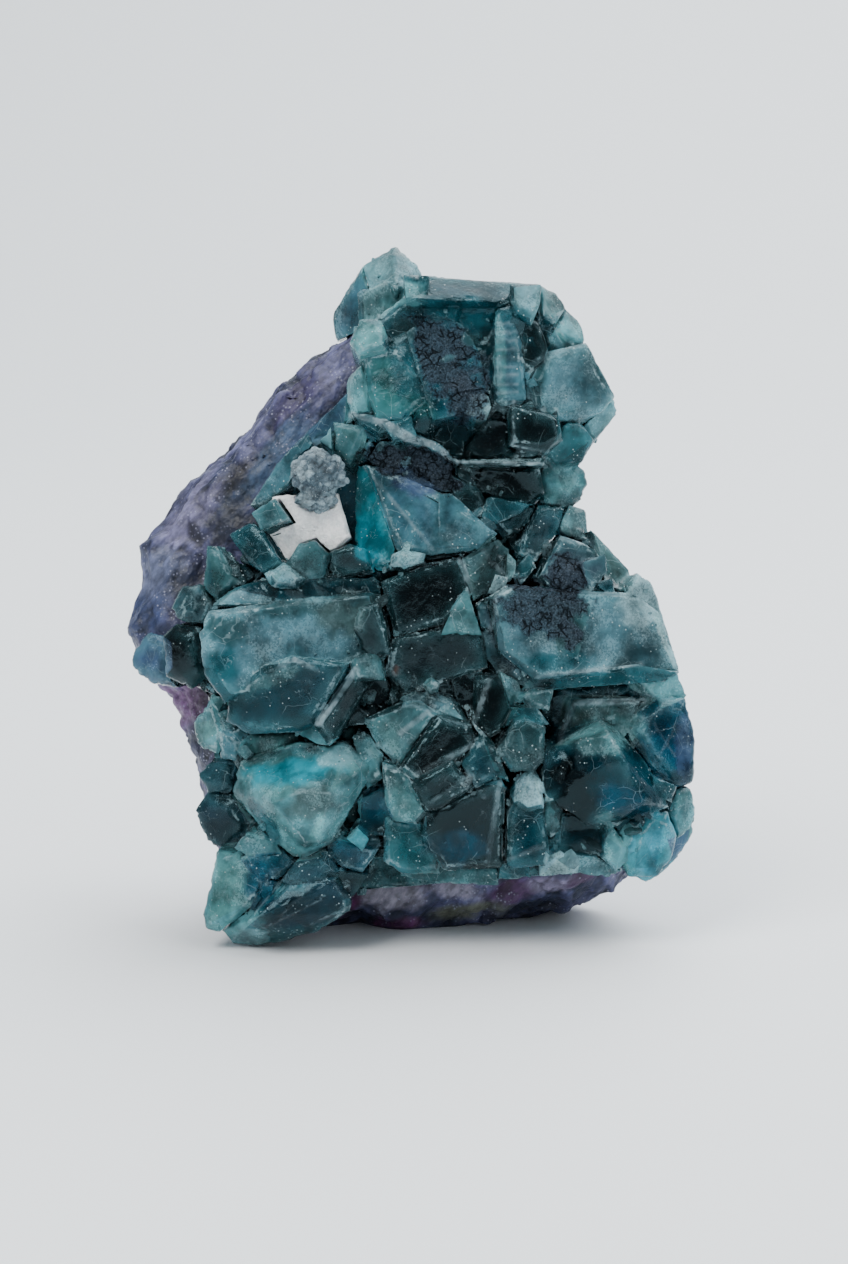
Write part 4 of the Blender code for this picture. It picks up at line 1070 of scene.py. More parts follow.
@dataclass(frozen=True)
class CrystalFinish:
    """Clear to frosted fluorite, coloured by the piece's own tint and skin attributes.

    Attributes:
        bend: Index of refraction of fluorite.
        shine: How strongly its skin mirrors.
        shine_tone: Colour of what its skin mirrors.
        depth_tone: Colour that light keeps as it goes through.
        depth_density: How fast it takes that colour, per metre.
        edge_tone: Colour of its worn edges and of the highlight painted along them.
        frost_tone: Colour that thick frost tends to.
        mark_tone: Colour of the marks inside it.
        fleck_tone: Colour of the brightest flecks.
        glint_tone: Colour of the glints painted on the grains of its etched plates, a painted highlight.
        crack_tone: Colour of the cracks between those.
    """

    bend: float = 1.434
    shine: float = 0.15
    shine_tone: Tone = (0.45, 0.70, 0.78, 1.0)
    depth_tone: Tone = (0.10, 0.58, 0.64, 1.0)
    depth_density: float = 140.0
    edge_tone: Tone = (0.30, 0.43, 0.46, 1.0)
    frost_tone: Tone = (0.26, 0.36, 0.38, 1.0)
    mark_tone: Tone = (0.30, 0.42, 0.44, 1.0)
    fleck_tone: Tone = (0.52, 0.62, 0.63, 1.0)
    glint_tone: Tone = (0.16, 0.19, 0.21, 1.0)
    crack_tone: Tone = (0.003, 0.004, 0.006, 1.0)

    STREAK_TURN = Vector((12, 25, 18))  # degrees
    STREAK_SEED = 3.0

    def edges(self, tree: ShaderTree, wear_and_highlight: Socket, inward: Socket) -> Socket:
        """Draws the broken pale lines along worn edges, partly worn skin and partly a painted highlight.

        Args:
            tree: The material's tree.
            wear_and_highlight: How worn the edges are, which also sets how strong the painted highlight along
                them is.
            inward: Distance from an edge, as the skin attribute has it.

        Returns:
            How light an edge is, 0 to 1.
        """
        wander = tree.times(tree.math("SUBTRACT", tree.grain(1.1, 4.0, 0.65, seed=23.0), 0.5), 1.3)
        inward = tree.plus(tree.times(inward, EDGE_SPAN), wander)
        line = tree.times(wear_and_highlight, tree.fade(inward, 0.10, 0.40))
        short_gaps = tree.stretch(tree.grain(1.2, 3.0, 0.65, seed=5.0), 0.38, 0.60)
        long_gaps = tree.stretch(tree.grain(9.0, 3.0, 0.6, seed=6.0), 0.40, 0.60, 0.12, 1.2)
        return tree.times(line, tree.times(short_gaps, long_gaps), clamp=True)

    def frosting(self, tree: ShaderTree, frost: Socket) -> Socket:
        """Gathers the frost in gritty clouds.

        Args:
            tree: The material's tree.
            frost: How frosted the skin is, 0 to 1.

        Returns:
            How frosted each place is, 0 to 1.
        """
        shift = tree.times(tree.math("SUBTRACT", frost, 0.5), 0.40)
        haze = tree.plus(tree.grain(5.5, 8.0, 0.66), shift)
        grit = tree.stretch(tree.grain(0.4, 3.0, 0.7, seed=7.0), 0.36, 0.62, 0.30, 1.0)
        return tree.times(tree.stretch(haze, 0.36, 0.74), grit)

    def marks(self, tree: ShaderTree) -> tuple[Socket, Socket]:
        """Draws long wisps and short hairs caught in the crystals, and small pale flecks.

        Args:
            tree: The material's tree.

        Returns:
            How strong all the marks are, and how strong the flecks are.
        """
        wisps = tree.times(tree.fade(tree.cracks(5.0, 17.0, 2.0), 0.0, 0.012),
                           tree.stretch(tree.grain(6.0, 3.0, seed=18.0), 0.50, 0.60))
        hairs = tree.times(tree.fade(tree.cracks(2.6, 27.0, 2.2), 0.0, 0.014),
                           tree.stretch(tree.grain(3.0, 3.0, seed=28.0), 0.54, 0.62))
        flecks = tree.times(tree.fade(tree.cells(0.9, 19.0), 0.08, 0.17),
                            tree.stretch(tree.grain(5.0, 3.0, 0.6, seed=20.0), 0.47, 0.62))
        lines = tree.most(tree.times(wisps, 0.45), tree.times(hairs, 0.40))
        return tree.most(lines, tree.times(flecks, 0.9)), flecks

    def cracks(self, tree: ShaderTree) -> Socket:
        """Draws the cracks and pits of the etched plates.

        Args:
            tree: The material's tree.

        Returns:
            How deep they are, 0 to 1.
        """
        lines = tree.times(tree.fade(tree.cracks(1.5, 2.0, 0.8), 0.02, 0.11),
                           tree.stretch(tree.grain(2.2, 2.0, seed=14.0), 0.46, 0.56))
        pits = tree.fade(tree.grain(0.45, 3.0, 0.7, seed=15.0), 0.30, 0.42)
        return tree.most(lines, tree.times(pits, 0.6))

    def plates(self, tree: ShaderTree, tint: Socket, cracks: Socket) -> Socket:
        """Colours the etched plates, with painted glints on their grains.

        Args:
            tree: The material's tree.
            tint: The piece's own tint.
            cracks: How deep the cracks are.

        Returns:
            Their colour.
        """
        grit = tree.stretch(tree.grain(0.35, 3.0, 0.7, seed=21.0), 0.36, 0.66, 0.45, 1.7)
        # Painted highlight: pale glints painted on the etched plates' grains.
        glint = tree.stretch(tree.cells(0.6, 22.0), 0.10, 0.20, 0.35, 0.0)
        return tree.mix(cracks, tree.mix(glint, tree.scale(tint, grit), self.glint_tone), self.crack_tone)

    def relief(self, tree: ShaderTree, frosted: Socket, etch: Socket, cracks: Socket) -> Socket:
        """Makes the skin uneven, from broad waves to grit and cracks.

        Args:
            tree: The material's tree.
            frosted: How frosted each place is.
            etch: How etched it is.
            cracks: How deep the cracks are.

        Returns:
            The normal.
        """
        streaks = tree.grain(4.5, 3.0, 0.6, Vector((1, 1, 0.22)), self.STREAK_TURN, self.STREAK_SEED)
        normal = tree.bump(tree.grain(2.2, 5.0, 0.6), 0.26, 0.6)
        normal = tree.bump(streaks, 0.45, 0.6, normal)
        rough = tree.plus(0.05, frosted, clamp=True)
        normal = tree.bump(tree.grain(0.5, 3.0, 0.6, seed=1.0), 0.08, rough, normal)
        normal = tree.bump(tree.grain(0.55, 4.0, 0.7, seed=21.0), 0.22, etch, normal)
        return tree.bump(cracks, -0.20, etch, normal)

    def material(self) -> bpy.types.Material:
        """Builds the material.

        Returns:
            The material.
        """
        tree = ShaderTree("fluorite")
        tint = tree.node("ShaderNodeAttribute", attribute_name="tint")
        skin = tree.node("ShaderNodeAttribute", attribute_name="skin")
        frost, etch, wear_and_highlight = tree.node("ShaderNodeSeparateColor", {0: skin.outputs["Color"]}).outputs[:3]
        edges = self.edges(tree, wear_and_highlight, skin.outputs["Alpha"])
        frosted = self.frosting(tree, frost)
        marks, flecks = self.marks(tree)
        cracks = self.cracks(tree)
        streak = tree.grain(2.6, 4.0, 0.6, Vector((1, 1, 0.18)), self.STREAK_TURN, self.STREAK_SEED)
        streak = tree.stretch(streak, 0.45, 0.70)

        clouds = tree.stretch(tree.grain(6.0, 6.0, 0.62, seed=11.0), 0.33, 0.67, 0.42, 1.62)
        base = tree.scale(tint.outputs["Color"], clouds)
        base = tree.mix(tree.times(streak, 0.22), base, tree.scale(base, 2.0))
        # Worn edges, with a painted highlight along them.
        base = tree.mix(tree.times(edges, 0.64), base, self.edge_tone)
        frosty = tree.mix(0.55, tree.scale(base, 2.4), self.frost_tone)
        base = tree.mix(tree.times(frosted, 0.72), base, frosty)
        base = tree.mix(tree.times(marks, 0.8), base, self.mark_tone)
        base = tree.mix(tree.times(flecks, 0.7), base, self.fleck_tone)
        base = tree.mix(etch, base, self.plates(tree, tint.outputs["Color"], cracks))

        covered = tree.most(tree.times(edges, 0.6), tree.times(frosted, 0.8))
        covered = tree.most(tree.most(covered, marks), etch)
        clear = tree.times(tint.outputs["Alpha"], tree.math("SUBTRACT", 1.0, covered, clamp=True), clamp=True)
        rough = tree.plus(0.07, tree.times(frosted, 0.40))
        rough = tree.plus(rough, tree.times(etch, 0.35))
        rough = tree.plus(rough, tree.times(streak, 0.14), clamp=True)
        shader = tree.node("ShaderNodeBsdfPrincipled", {
            "Base Color": base,
            "Roughness": rough,
            "Transmission Weight": clear,
            "Normal": self.relief(tree, frosted, etch, cracks),
            "IOR": self.bend,
            "Specular IOR Level": self.shine,
            "Specular Tint": self.shine_tone,
        })
        depth = {"Color": self.depth_tone, "Density": self.depth_density}
        return tree.finish(shader, tree.node("ShaderNodeVolumeAbsorption", depth))


@dataclass(frozen=True)
class StoneFinish:
    """Granular mineral, coloured by the piece's own attribute, with grains, specks and a rough skin.

    Attributes:
        name: Name of the material.
        speck: Colour of its pale specks.
        pitch: Size of its mottling, in millimetres.
        rough: Roughness of its skin.
        bleed: How much light spreads under the skin.
        sparkle: How strongly its pale specks show.
        mottling: How strongly its colour varies.
        fibre: How much longer than wide its mottles are.
        slant: How far they lean to the right of upright, in degrees.
        bend: Index of refraction of its skin.
        bleed_reach: How far light spreads under the skin, in millimetres.
    """

    name: str
    speck: Colour
    pitch: float
    rough: float
    bleed: float
    sparkle: float
    mottling: float = 1.0
    fibre: float = 1.0
    slant: float = 0.0
    bend: float = 1.45
    bleed_reach: float = 1.2

    def material(self) -> bpy.types.Material:
        """Builds the material.

        Returns:
            The material.
        """
        tree = ShaderTree(self.name)
        tint = tree.node("ShaderNodeAttribute", attribute_name="tint")
        lie = {"squeeze": Vector((1, 1, 1 / self.fibre)), "turn": Vector((0, self.slant, 0))}
        speck_pitch = self.pitch * 0.12
        mottle = tree.stretch(tree.grain(self.pitch, 7.0, 0.66, **lie), 0.34, 0.66,
                              1.0 - 0.4 * self.mottling, 1.0 + 0.45 * self.mottling)
        fine = tree.stretch(tree.grain(self.pitch * 0.15, 4.0, 0.65, seed=4.0, **lie), 0.34, 0.68,
                            1.0 - 0.25 * self.mottling, 1.0 + 0.3 * self.mottling)
        specks = tree.fade(tree.cells(speck_pitch), 0.10, 0.34)
        patches = tree.stretch(tree.grain(self.pitch * 0.7, 3.0, 0.6, seed=8.0), 0.46, 0.62)
        base = tree.scale(tint.outputs["Color"], tree.times(mottle, fine))
        base = tree.mix(tree.times(tree.times(specks, patches), self.sparkle), base, (*self.speck, 1))
        normal = tree.bump(tree.grain(self.pitch * 0.25, 5.0, 0.65, seed=2.0, **lie), 0.45, 0.8)
        shader = tree.node("ShaderNodeBsdfPrincipled", {
            "Base Color": base,
            "Roughness": tree.plus(self.rough - 0.12, tree.times(fine, 0.12), clamp=True),
            "Normal": tree.bump(tree.cells(speck_pitch, 1.0), 0.15, 0.5, normal),
            "IOR": self.bend,
            "Subsurface Weight": self.bleed,
            "Subsurface Radius": (1.0, 0.9, 1.0),
            "Subsurface Scale": self.bleed_reach * MM,
        })
        return tree.finish(shader)


def settle(piece: bpy.types.Object, node: str, slot: str) -> None:
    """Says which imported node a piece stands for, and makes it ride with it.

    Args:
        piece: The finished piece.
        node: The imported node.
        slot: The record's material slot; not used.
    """
    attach(piece, BODY)
    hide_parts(node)
    log.info("%s: %d triangles, for %s", piece.name, len(piece.data.polygons), node)


@dataclass(frozen=True)
class Skin:
    """What the crystals' skin is like at each corner of their mesh.

    Attributes:
        from_edge: How far the corner is from a sharp outward edge, in millimetres.
        grown: How much it is part of the growth in a crevice, 0 to 1.
        frost: How frosted it is, 0 to 1.
        etch: How deeply it is etched, 0 to 1.
    """

    from_edge: Array
    grown: Array
    frost: Array
    etch: Array


@dataclass
class CrystalCluster:
    """The blue-green crystals: facets, chipped edges, grown-over crevices, etched plates and frost.

    Attributes:
        face: The specimen's face frame.
        relief: The crystals' own relief.
        fine: Longest edge where the front shows, in millimetres.
        side: Longest edge on sides that face outward, in millimetres.
        coarse: Longest edge of the hidden mesh, in millimetres.
        detail: Longest edge on etched plates and bevels, in millimetres.
        flat: Faces that meet at less than this many degrees are one facet.
        sharp: Edges that turn by at least this many degrees get chipped.
        crisp: Edges that turn by more than this many degrees aren't shaded smooth.
        slack: How far behind the relief a place still counts as seen, in millimetres.
        depth: How deep the growth lies below the crystals' edges, in millimetres.
        swell: Height of the facets' slight waves, in millimetres.
        chip: How far the edges are chipped off at most, in millimetres.
        blunt: How far the edges are drawn in, as a share of the way to their neighbours.
        knobs: Height of the growth's lumps, in millimetres.
        bevel: How far the bevels stand out, in millimetres.
        plate: Height of the etched plates, in millimetres.
        plate_width: Width of an etched plate, in millimetres.
        crack: Depth of the cracks between them, in millimetres.
        crust: Height of the frost's grains, in millimetres.
    """

    face: FaceFrame
    relief: ReliefMap
    fine: float = 1.08
    side: float = 2.4
    coarse: float = 6.0
    detail: float = 0.55
    flat: float = 1.5
    sharp: float = 20.0
    crisp: float = 24.0
    slack: float = 0.9
    depth: float = 0.18
    swell: float = 0.10
    chip: float = 0.55
    blunt: float = 0.22
    knobs: float = 0.25
    bevel: float = 0.12
    plate: float = 0.12
    plate_width: float = 1.5
    crack: float = 0.22
    crust: float = 0.16

    WAVES = Swells(5.0, 3.0)  # the facets' own
    BITES = Swells(1.5, 31.0)  # where edges are chipped
    GRAINS = Swells(1.3, 9.0)  # of the frost
    KNOBS = Swells(2.6, 19.0)  # of the growth
    LEVELS = Swells(9.0, 17.0)  # of the growth
    RAGGED = Swells(2.4, 13.0, 4)  # the stains' rims
    # mottles the growth in crevices; its darker places are painted shade
    GROWTH_MOTTLE_AND_SHADE = Swells(4.5, 41.0, 3)  # of the growth
    # breaks up the bevels' painted reflections
    GRIT = Swells(1.6, 51.0)  # on the bevels
    # how worn the edges are, which also sets their painted highlight
    WEAR_AND_HIGHLIGHT = Swells(6.0, 21.0)  # of the edges
    # Painted glow: the colour painted near outward edges, where thin crystal lets light through, and its
    # clearness.
    RIM_GLOW_TINT = np.array([*colour(84, 142, 150), 0.45])  # thin crystal near an edge, and its clearness
    # the pale colour painted on the bevels as a painted reflection, and its clearness
    BEVEL_REFLECTION_TINT = np.array([*colour(122, 140, 146), 0.15])

    def facet_spots(self, shape: Shape) -> Array:
        """Finds the spot that each facet belongs to.

        Args:
            shape: The cluster's mesh, with its facets numbered.

        Returns:
            The spot's index for each facet number.
        """
        count = max(face[shape.facet] for face in shape.work.faces) + 1
        weight = np.zeros(count)
        middle = np.zeros((count, 3))
        for face in shape.work.faces:
            area = face.calc_area()
            weight[face[shape.facet]] += area
            middle[face[shape.facet]] += np.array(face.calc_center_median()) * area
        middle[weight > 0] /= weight[weight > 0][:, None]
        places = self.face.to_face(middle)
        distances = np.stack([spot.nearness(places) for spot in CRYSTAL_SPOTS])
        return distances.argmin(axis=0)

    def longest(self, middles: Array, out: Array) -> Array:
        """Finds the longest edge allowed at each place.

        Args:
            middles: Middles of edges, in metres.
            out: Outward directions there.

        Returns:
            Lengths in millimetres.
        """
        plate_reach = 1.25
        bevel_reach = 0.45
        facing = out @ self.face.direction()
        places = self.face.to_face(middles)
        seen = self.relief.in_front(places, self.slack) & (facing > -0.1)
        result = np.where(seen, self.fine, np.where(facing > -0.5, self.side, self.coarse))
        detailed = np.zeros(len(middles), bool)
        for stain in STAINS:
            if stain.glow is Glow.CHARCOAL:
                detailed |= stain.nearness(places) < plate_reach
        for strip in STRIPS:
            detailed |= np.abs(strip.inside(places)) < bevel_reach
        return np.where(seen & detailed, self.detail, result)

    def build(self) -> bpy.types.Object:
        """Makes the piece.

        Returns:
            The dressed crystals.
        """
        shape = Shape("crystal_cluster")
        facets = shape.number_facets(self.flat)
        spots = self.facet_spots(shape)
        shape.refine(self.longest)
        log.info("crystals: %d facets, %d triangles", facets, len(shape.work.faces))
        outward = shape.crests(self.sharp)
        start = shape.points()
        from_edge = distance_to(start, outward)
        grown = self.grow_over(shape)
        skin = Skin(from_edge, grown, *self.frost_and_etch(shape, spots))
        self.carve(shape, start, outward, skin)
        made = self.dress(shape, spots, skin)
        made.data.materials.append(CrystalFinish().material())
        settle(made, "crystal_cluster", "blue_green_fluorite")
        return made

    def grow_over(self, shape: Shape) -> Array:
        """Raises the floors of narrow crevices, where small crystals have grown over them.

        Args:
            shape: The shape to change.

        Returns:
            How much each corner is part of the growth, 0 to 1.
        """
        highest = 9.0
        points = shape.points()
        places = self.face.to_face(points)
        uneven = np.clip(1.0 + 3.0 * self.LEVELS.at(points), 0.0, 6.0)
        floor = self.relief.read(self.relief.floor, places) - self.depth * uneven
        seen = places[:, 2] > self.relief.read(self.relief.low, places) - self.slack
        lift = np.where(seen, np.clip(floor - places[:, 2], 0.0, highest), 0.0)
        shape.move(self.face.direction()[None, :] * (lift * MM)[:, None])
        grown = smooth_step(lift, 0.1, 0.9)
        for _ in range(2):
            shape.soften(grown > 0.3, 0.5)
        return grown

    def stains(self, points: Array, low: float, high: float) -> Iterator[tuple[Look, Array]]:
        """Goes through the stains.

        Args:
            points: One point in metres per row.
            low: How far inside its rim a stain sets in, as a share of its reach.
            high: How far inside its rim it is full.

        Yields:
            Each stain's look and its share of each point, 0 to 1.
        """
        places = self.face.to_face(points)
        ragged = 0.42 * self.RAGGED.at(points)
        for stain in STAINS:
            yield stain.glow.value, smooth_step(1.0 - stain.nearness(places) + ragged, low, high)

    def frost_and_etch(self, shape: Shape, spots: Array) -> tuple[Array, Array]:
        """Finds how frosted and how etched each corner is.

        Args:
            shape: The shape.
            spots: The spot of each facet number.

        Returns:
            Frost and etch of each corner, 0 to 1.
        """
        frost_of = np.array([spot.glow.value.frost for spot in CRYSTAL_SPOTS])[spots]
        frost = np.zeros(len(shape.work.verts))
        for vert in shape.work.verts:
            own = [face[shape.facet] for face in vert.link_faces]
            frost[vert.index] = sum(frost_of[own]) / len(own)
        etch = np.zeros(len(frost))
        for look, share in self.stains(shape.points(), -0.08, 0.12):
            frost += share * (look.frost - frost)
            etch += share * (look.etch - etch)
        return frost, etch

    def carve(self, shape: Shape, start: Array, outward: Array, skin: Skin) -> None:
        """Gives the crystals waves, chipped edges, grains of frost, lumps, cracked plates and bevels.

        Args:
            shape: The shape to change.
            start: The corners' places before the crevices grew over, in metres.
            outward: Whether each corner is on a sharp outward edge.
            skin: What the skin is like.
        """
        height, _, crack = CellMap(start, self.plate_width, 5).sample(start, skin.etch > 0.02)
        bite = smooth_step(self.BITES.at(start), -0.05, 0.6) * outward
        lift = self.swell * self.WAVES.at(start) - self.chip * bite
        crust = skin.frost * self.crust * self.GRAINS.at(start)
        lift += crust + skin.grown * self.knobs * self.KNOBS.at(start)
        lift += skin.etch * (self.plate * height - self.crack * crack)
        places = self.face.to_face(start)
        for strip in STRIPS:
            lift += self.bevel * smooth_step(strip.inside(places), -0.1, 0.15)
        shape.move(shape.normals() * (lift * MM)[:, None])
        shape.soften(outward, self.blunt)

    def dress(self, shape: Shape, spots: Array, skin: Skin) -> bpy.types.Object:
        """Turns the mesh into an object, with its tint, its skin and its growth written on it.

        Args:
            shape: The finished shape.
            spots: The spot of each facet number.
            skin: What the skin is like.

        Returns:
            The object.
        """
        points = shape.points()
        made = shape.finish("fluorite_crystals", self.crisp)
        mesh = made.data
        facet = np.zeros(len(mesh.polygons), np.int32)
        mesh.attributes["facet"].data.foreach_get("value", facet)
        mesh.attributes.remove(mesh.attributes["facet"])
        corner = loop_points(mesh)
        tint = self.facet_tints(spots)[np.repeat(facet, 3)]
        self.shade(tint, points, corner, skin)
        self.mark(tint, points, corner)
        paint(mesh, "tint", np.clip(tint, 0.0, 1.0))

        # Worn edges: the material draws pale lines there, partly worn skin and partly a painted highlight.
        worn = np.clip(0.45 + 1.6 * self.WEAR_AND_HIGHLIGHT.at(points), 0.0, 1.0)
        frost = np.maximum(skin.frost, 0.10 * skin.grown)
        values = [frost, skin.etch, worn * (1.0 - skin.etch), skin.from_edge / EDGE_SPAN]
        paint(mesh, "skin", np.clip(np.stack(values, axis=1)[corner], 0.0, 1.0))
        worn *= np.exp(-((skin.from_edge / 0.45) ** 2))
        growth = np.clip(skin.grown * 0.9 + smooth_step(frost, 0.5, 0.8) * 0.6 + 0.10 * worn, 0.0, 1.0)
        growth *= 1.0 - skin.etch
        layer = mesh.attributes.new("growth", "FLOAT", "POINT")
        layer.data.foreach_set("value", growth.astype(np.float32))
        return made

    @staticmethod
    def facet_tints(spots: Array) -> Array:
        """Gives each facet the tint of its spot, a little off.

        Args:
            spots: The spot of each facet number.

        Returns:
            Red, green, blue and clearness of each facet number.
        """
        chance = np.random.default_rng(11).uniform(-1.0, 1.0, (len(spots), 3))
        tints = np.array([spot.glow.value.row() for spot in CRYSTAL_SPOTS])[spots]
        warmth = np.array([1.0, 0.2, -0.8])
        tints[:, :3] *= (1.0 + 0.26 * chance[:, :1]) * (1.0 + 0.08 * chance[:, 1:2] * warmth)
        tints[:, 3] = np.clip(tints[:, 3] + 0.10 * chance[:, 2], 0.02, 0.96)
        return tints

    def shade(self, tint: Array, points: Array, corner: Array, skin: Skin) -> None:
        """Blends neighbouring tints a little, paints shade into the crystal that lies low in crevices, paints
        a glow into the thin rims and mottles the growth, partly as painted shade.

        Args:
            tint: Red, green, blue and clearness of each face corner, which are changed.
            points: The corners' places, in metres.
            corner: The point of each face corner.
            skin: What the skin is like.
        """
        places = self.face.to_face(points)
        blended, total = np.zeros((len(points), 4)), np.zeros((len(points), 1))
        for spot in CRYSTAL_SPOTS:
            weight = 1.0 / (0.15 + spot.nearness(places)[:, None] ** 4)
            blended += weight * spot.glow.value.row()
            total += weight
        tint += 0.2 * ((blended / total)[corner] - tint)
        # Painted shade: crystal lying below the bridged relief, in crevices, is darkened by its depth there.
        painted_shade_depth = self.relief.read(self.relief.floor, places) - places[:, 2]
        tint[:, :3] *= 1.0 - 0.6 * smooth_step(painted_shade_depth, 0.3, 2.0)[corner][:, None]
        # Painted light: near outward edges the tint is painted paler, a glow of light shining through the
        # thin crystal.
        rim = (0.26 * np.exp(-((skin.from_edge / 1.4) ** 2)) * (1.0 - skin.etch))[corner][:, None]
        tint += rim * (self.RIM_GLOW_TINT - tint)
        # The growth in crevices is mottled at random, and its darker places are painted shade in the
        # crevices.
        mottle = 0.42 + 0.7 * smooth_step(self.GROWTH_MOTTLE_AND_SHADE.at(points), -0.1, 0.5)
        tint[:, :3] *= (1.0 - skin.grown + skin.grown * mottle)[corner][:, None]

    def mark(self, tint: Array, points: Array, corner: Array) -> None:
        """Lays the stains, and the bevels' painted reflections, over the tint.

        Args:
            tint: Red, green, blue and clearness of each face corner, which are changed.
            points: The corners' places, in metres.
            corner: The point of each face corner.
        """
        places = self.face.to_face(points)
        for look, near in self.stains(points, -0.25, 0.35):
            tint += 0.85 * near[corner][:, None] * (look.row() - tint)
        grit = np.clip(0.75 + 0.8 * self.GRIT.at(points), 0.25, 1.0)
        # Painted reflection: each bevel strip is painted pale where it catches the light.
        for strip in STRIPS:
            share = strip.pale * smooth_step(strip.inside(places), -0.12, 0.12)[corner][:, None]
            share *= grit[corner][:, None]
            tint += share * (self.BEVEL_REFLECTION_TINT - tint)


@dataclass
class Chips:
    """Tiny crystals and broken chips that sit on a piece, more of them where its growth attribute is high.

    Attributes:
        carrier: The piece that they sit on.
        node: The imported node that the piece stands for.
        slot: The record's material slot.
        density: Chips per square centimetre where the growth is 1.
        smallest: Width of the smallest chip, in millimetres.
        largest: Width of the largest chip, in millimetres.
        seed: Seed of the scatter.
        pale: How much paler than their carrier they are at most.
        unevenness: How much rarer large chips are than small ones.
    """

    carrier: bpy.types.Object
    node: str
    slot: str
    density: float
    smallest: float
    largest: float
    seed: int
    pale: float
    unevenness: float = 2.6

    PALE_TINT = np.array([*colour(118, 160, 166), 0.35])

    @staticmethod
    def prototype(name: str, size: Triple, cut: float, seed: int) -> bpy.types.Object:
        """Makes one chip: a block with its corners cut off.

        Args:
            name: Name of the chip.
            size: Its size along each axis, for a width of one millimetre.
            cut: How deep its corners are cut, as a share of its size.
            seed: Seed of its irregularity.

        Returns:
            The chip.
        """
        chance = np.random.default_rng(seed)
        work = bmesh.new()
        for signs in itertools.product((-0.5, 0.5), repeat=3):
            for axis in range(3 if chance.uniform() < 0.4 else 1):
                point = np.array(signs)
                point[axis] *= 1.0 - 2.0 * cut * chance.uniform(0.4, 1.0)
                work.verts.new(point * size * MM * chance.uniform(0.9, 1.1, 3))
        hull = bmesh.ops.convex_hull(work, input=work.verts)
        inner = [item for item in hull["geom_interior"] if item.is_valid]
        bmesh.ops.delete(work, geom=inner, context="VERTS")
        bmesh.ops.recalc_face_normals(work, faces=work.faces)
        mesh = bpy.data.meshes.new(name)
        work.to_mesh(mesh)
        work.free()
        return bpy.data.objects.new(name, mesh)

    def group(self, prototypes: list[bpy.types.Object]) -> tuple[bpy.types.NodeTree, dict[str, str]]:
        """Builds the node group that scatters the chips.

        Args:
            prototypes: The chips to pick from.

        Returns:
            The group, and the identifier of each named input.
        """
        group = bpy.data.node_groups.new("chips", "GeometryNodeTree")
        kinds = {"Geometry": "Geometry", "Density": "Float", "Smallest": "Float", "Largest": "Float",
                 "Seed": "Int", "Material": "Material"}
        names = {}
        for name, kind in kinds.items():
            made = group.interface.new_socket(name, in_out="INPUT", socket_type=f"NodeSocket{kind}")
            names[name] = made.identifier
        group.interface.new_socket("Geometry", in_out="OUTPUT", socket_type="NodeSocketGeometry")

        tree = Tree(group)
        start = tree.node("NodeGroupInput").outputs
        growth = tree.node("GeometryNodeInputNamedAttribute", {"Name": "growth"}, data_type="FLOAT")
        amount = {0: growth.outputs["Attribute"], 1: start["Density"]}
        scatter = tree.node("GeometryNodeDistributePointsOnFaces", {
            "Mesh": start["Geometry"],
            "Density": tree.node("ShaderNodeMath", amount, operation="MULTIPLY").outputs[0],
            "Seed": start["Seed"],
        })
        gather = tree.node("GeometryNodeJoinGeometry")
        for chip in prototypes:
            source = tree.node("GeometryNodeObjectInfo", {"Object": chip, "As Instance": True})
            tree.feed(gather.inputs[0], source.outputs["Geometry"])
        turn = tree.node("FunctionNodeRandomValue", {"Max": (math.tau,) * 3}, data_type="FLOAT_VECTOR")
        size = tree.node("FunctionNodeRandomValue", {"Seed": start["Seed"]}, data_type="FLOAT")
        uneven = tree.node("ShaderNodeMath", {0: size.outputs[1], 1: self.unevenness}, operation="POWER")
        width = {"Value": uneven.outputs[0], "To Min": start["Smallest"], "To Max": start["Largest"]}
        place = tree.node("GeometryNodeInstanceOnPoints", {
            "Points": scatter.outputs["Points"],
            "Instance": gather.outputs[0],
            "Pick Instance": True,
            "Rotation": turn.outputs[0],
            "Scale": tree.node("ShaderNodeMapRange", width).outputs[0],
        })
        number = tree.node("GeometryNodeStoreNamedAttribute", {
            "Name": "chip",
            "Geometry": place.outputs[0],
            "Value": tree.node("GeometryNodeInputIndex").outputs[0],
        }, data_type="INT", domain="INSTANCE")
        real = tree.node("GeometryNodeRealizeInstances", {0: number.outputs[0]})
        dressed = {"Geometry": real.outputs[0], "Material": start["Material"]}
        tree.node("NodeGroupOutput", {0: tree.node("GeometryNodeSetMaterial", dressed).outputs[0]})
        return group, names

    def build(self, name: str) -> bpy.types.Object:
        """Makes the piece.

        Args:
            name: Name of the piece.

        Returns:
            The chips as one object.
        """
        square_metre = 1e4
        prototypes = [
            self.prototype("block_chip", (1.0, 0.9, 0.8), 0.25, self.seed),
            self.prototype("flat_chip", (1.1, 0.8, 0.5), 0.45, self.seed + 1),
            self.prototype("sliver_chip", (1.5, 0.6, 0.5), 0.50, self.seed + 2),
        ]
        group, names = self.group(prototypes)
        modifier = self.carrier.modifiers.new("chips", "NODES")
        modifier.node_group = group
        modifier[names["Density"]] = self.density * square_metre
        modifier[names["Smallest"]] = self.smallest
        modifier[names["Largest"]] = self.largest
        modifier[names["Seed"]] = self.seed
        modifier[names["Material"]] = self.carrier.data.materials[0]
        depsgraph = bpy.context.evaluated_depsgraph_get()
        mesh = bpy.data.meshes.new_from_object(self.carrier.evaluated_get(depsgraph), depsgraph=depsgraph)
        mesh.name = name
        self.carrier.modifiers.remove(modifier)
        for made in prototypes:
            bpy.data.objects.remove(made)
        self.tone(mesh)
        points = np.zeros(len(mesh.vertices) * 3, np.float32)
        mesh.vertices.foreach_get("co", points)
        inside = np.clip(points.reshape(-1, 3), np.array(MODEL_BOX[0]), np.array(MODEL_BOX[1]))
        mesh.vertices.foreach_set("co", inside.astype(np.float32).ravel())
        made = bpy.data.objects.new(name, mesh)
        bpy.context.scene.collection.objects.link(made)
        settle(made, self.node, self.slot)
        return made

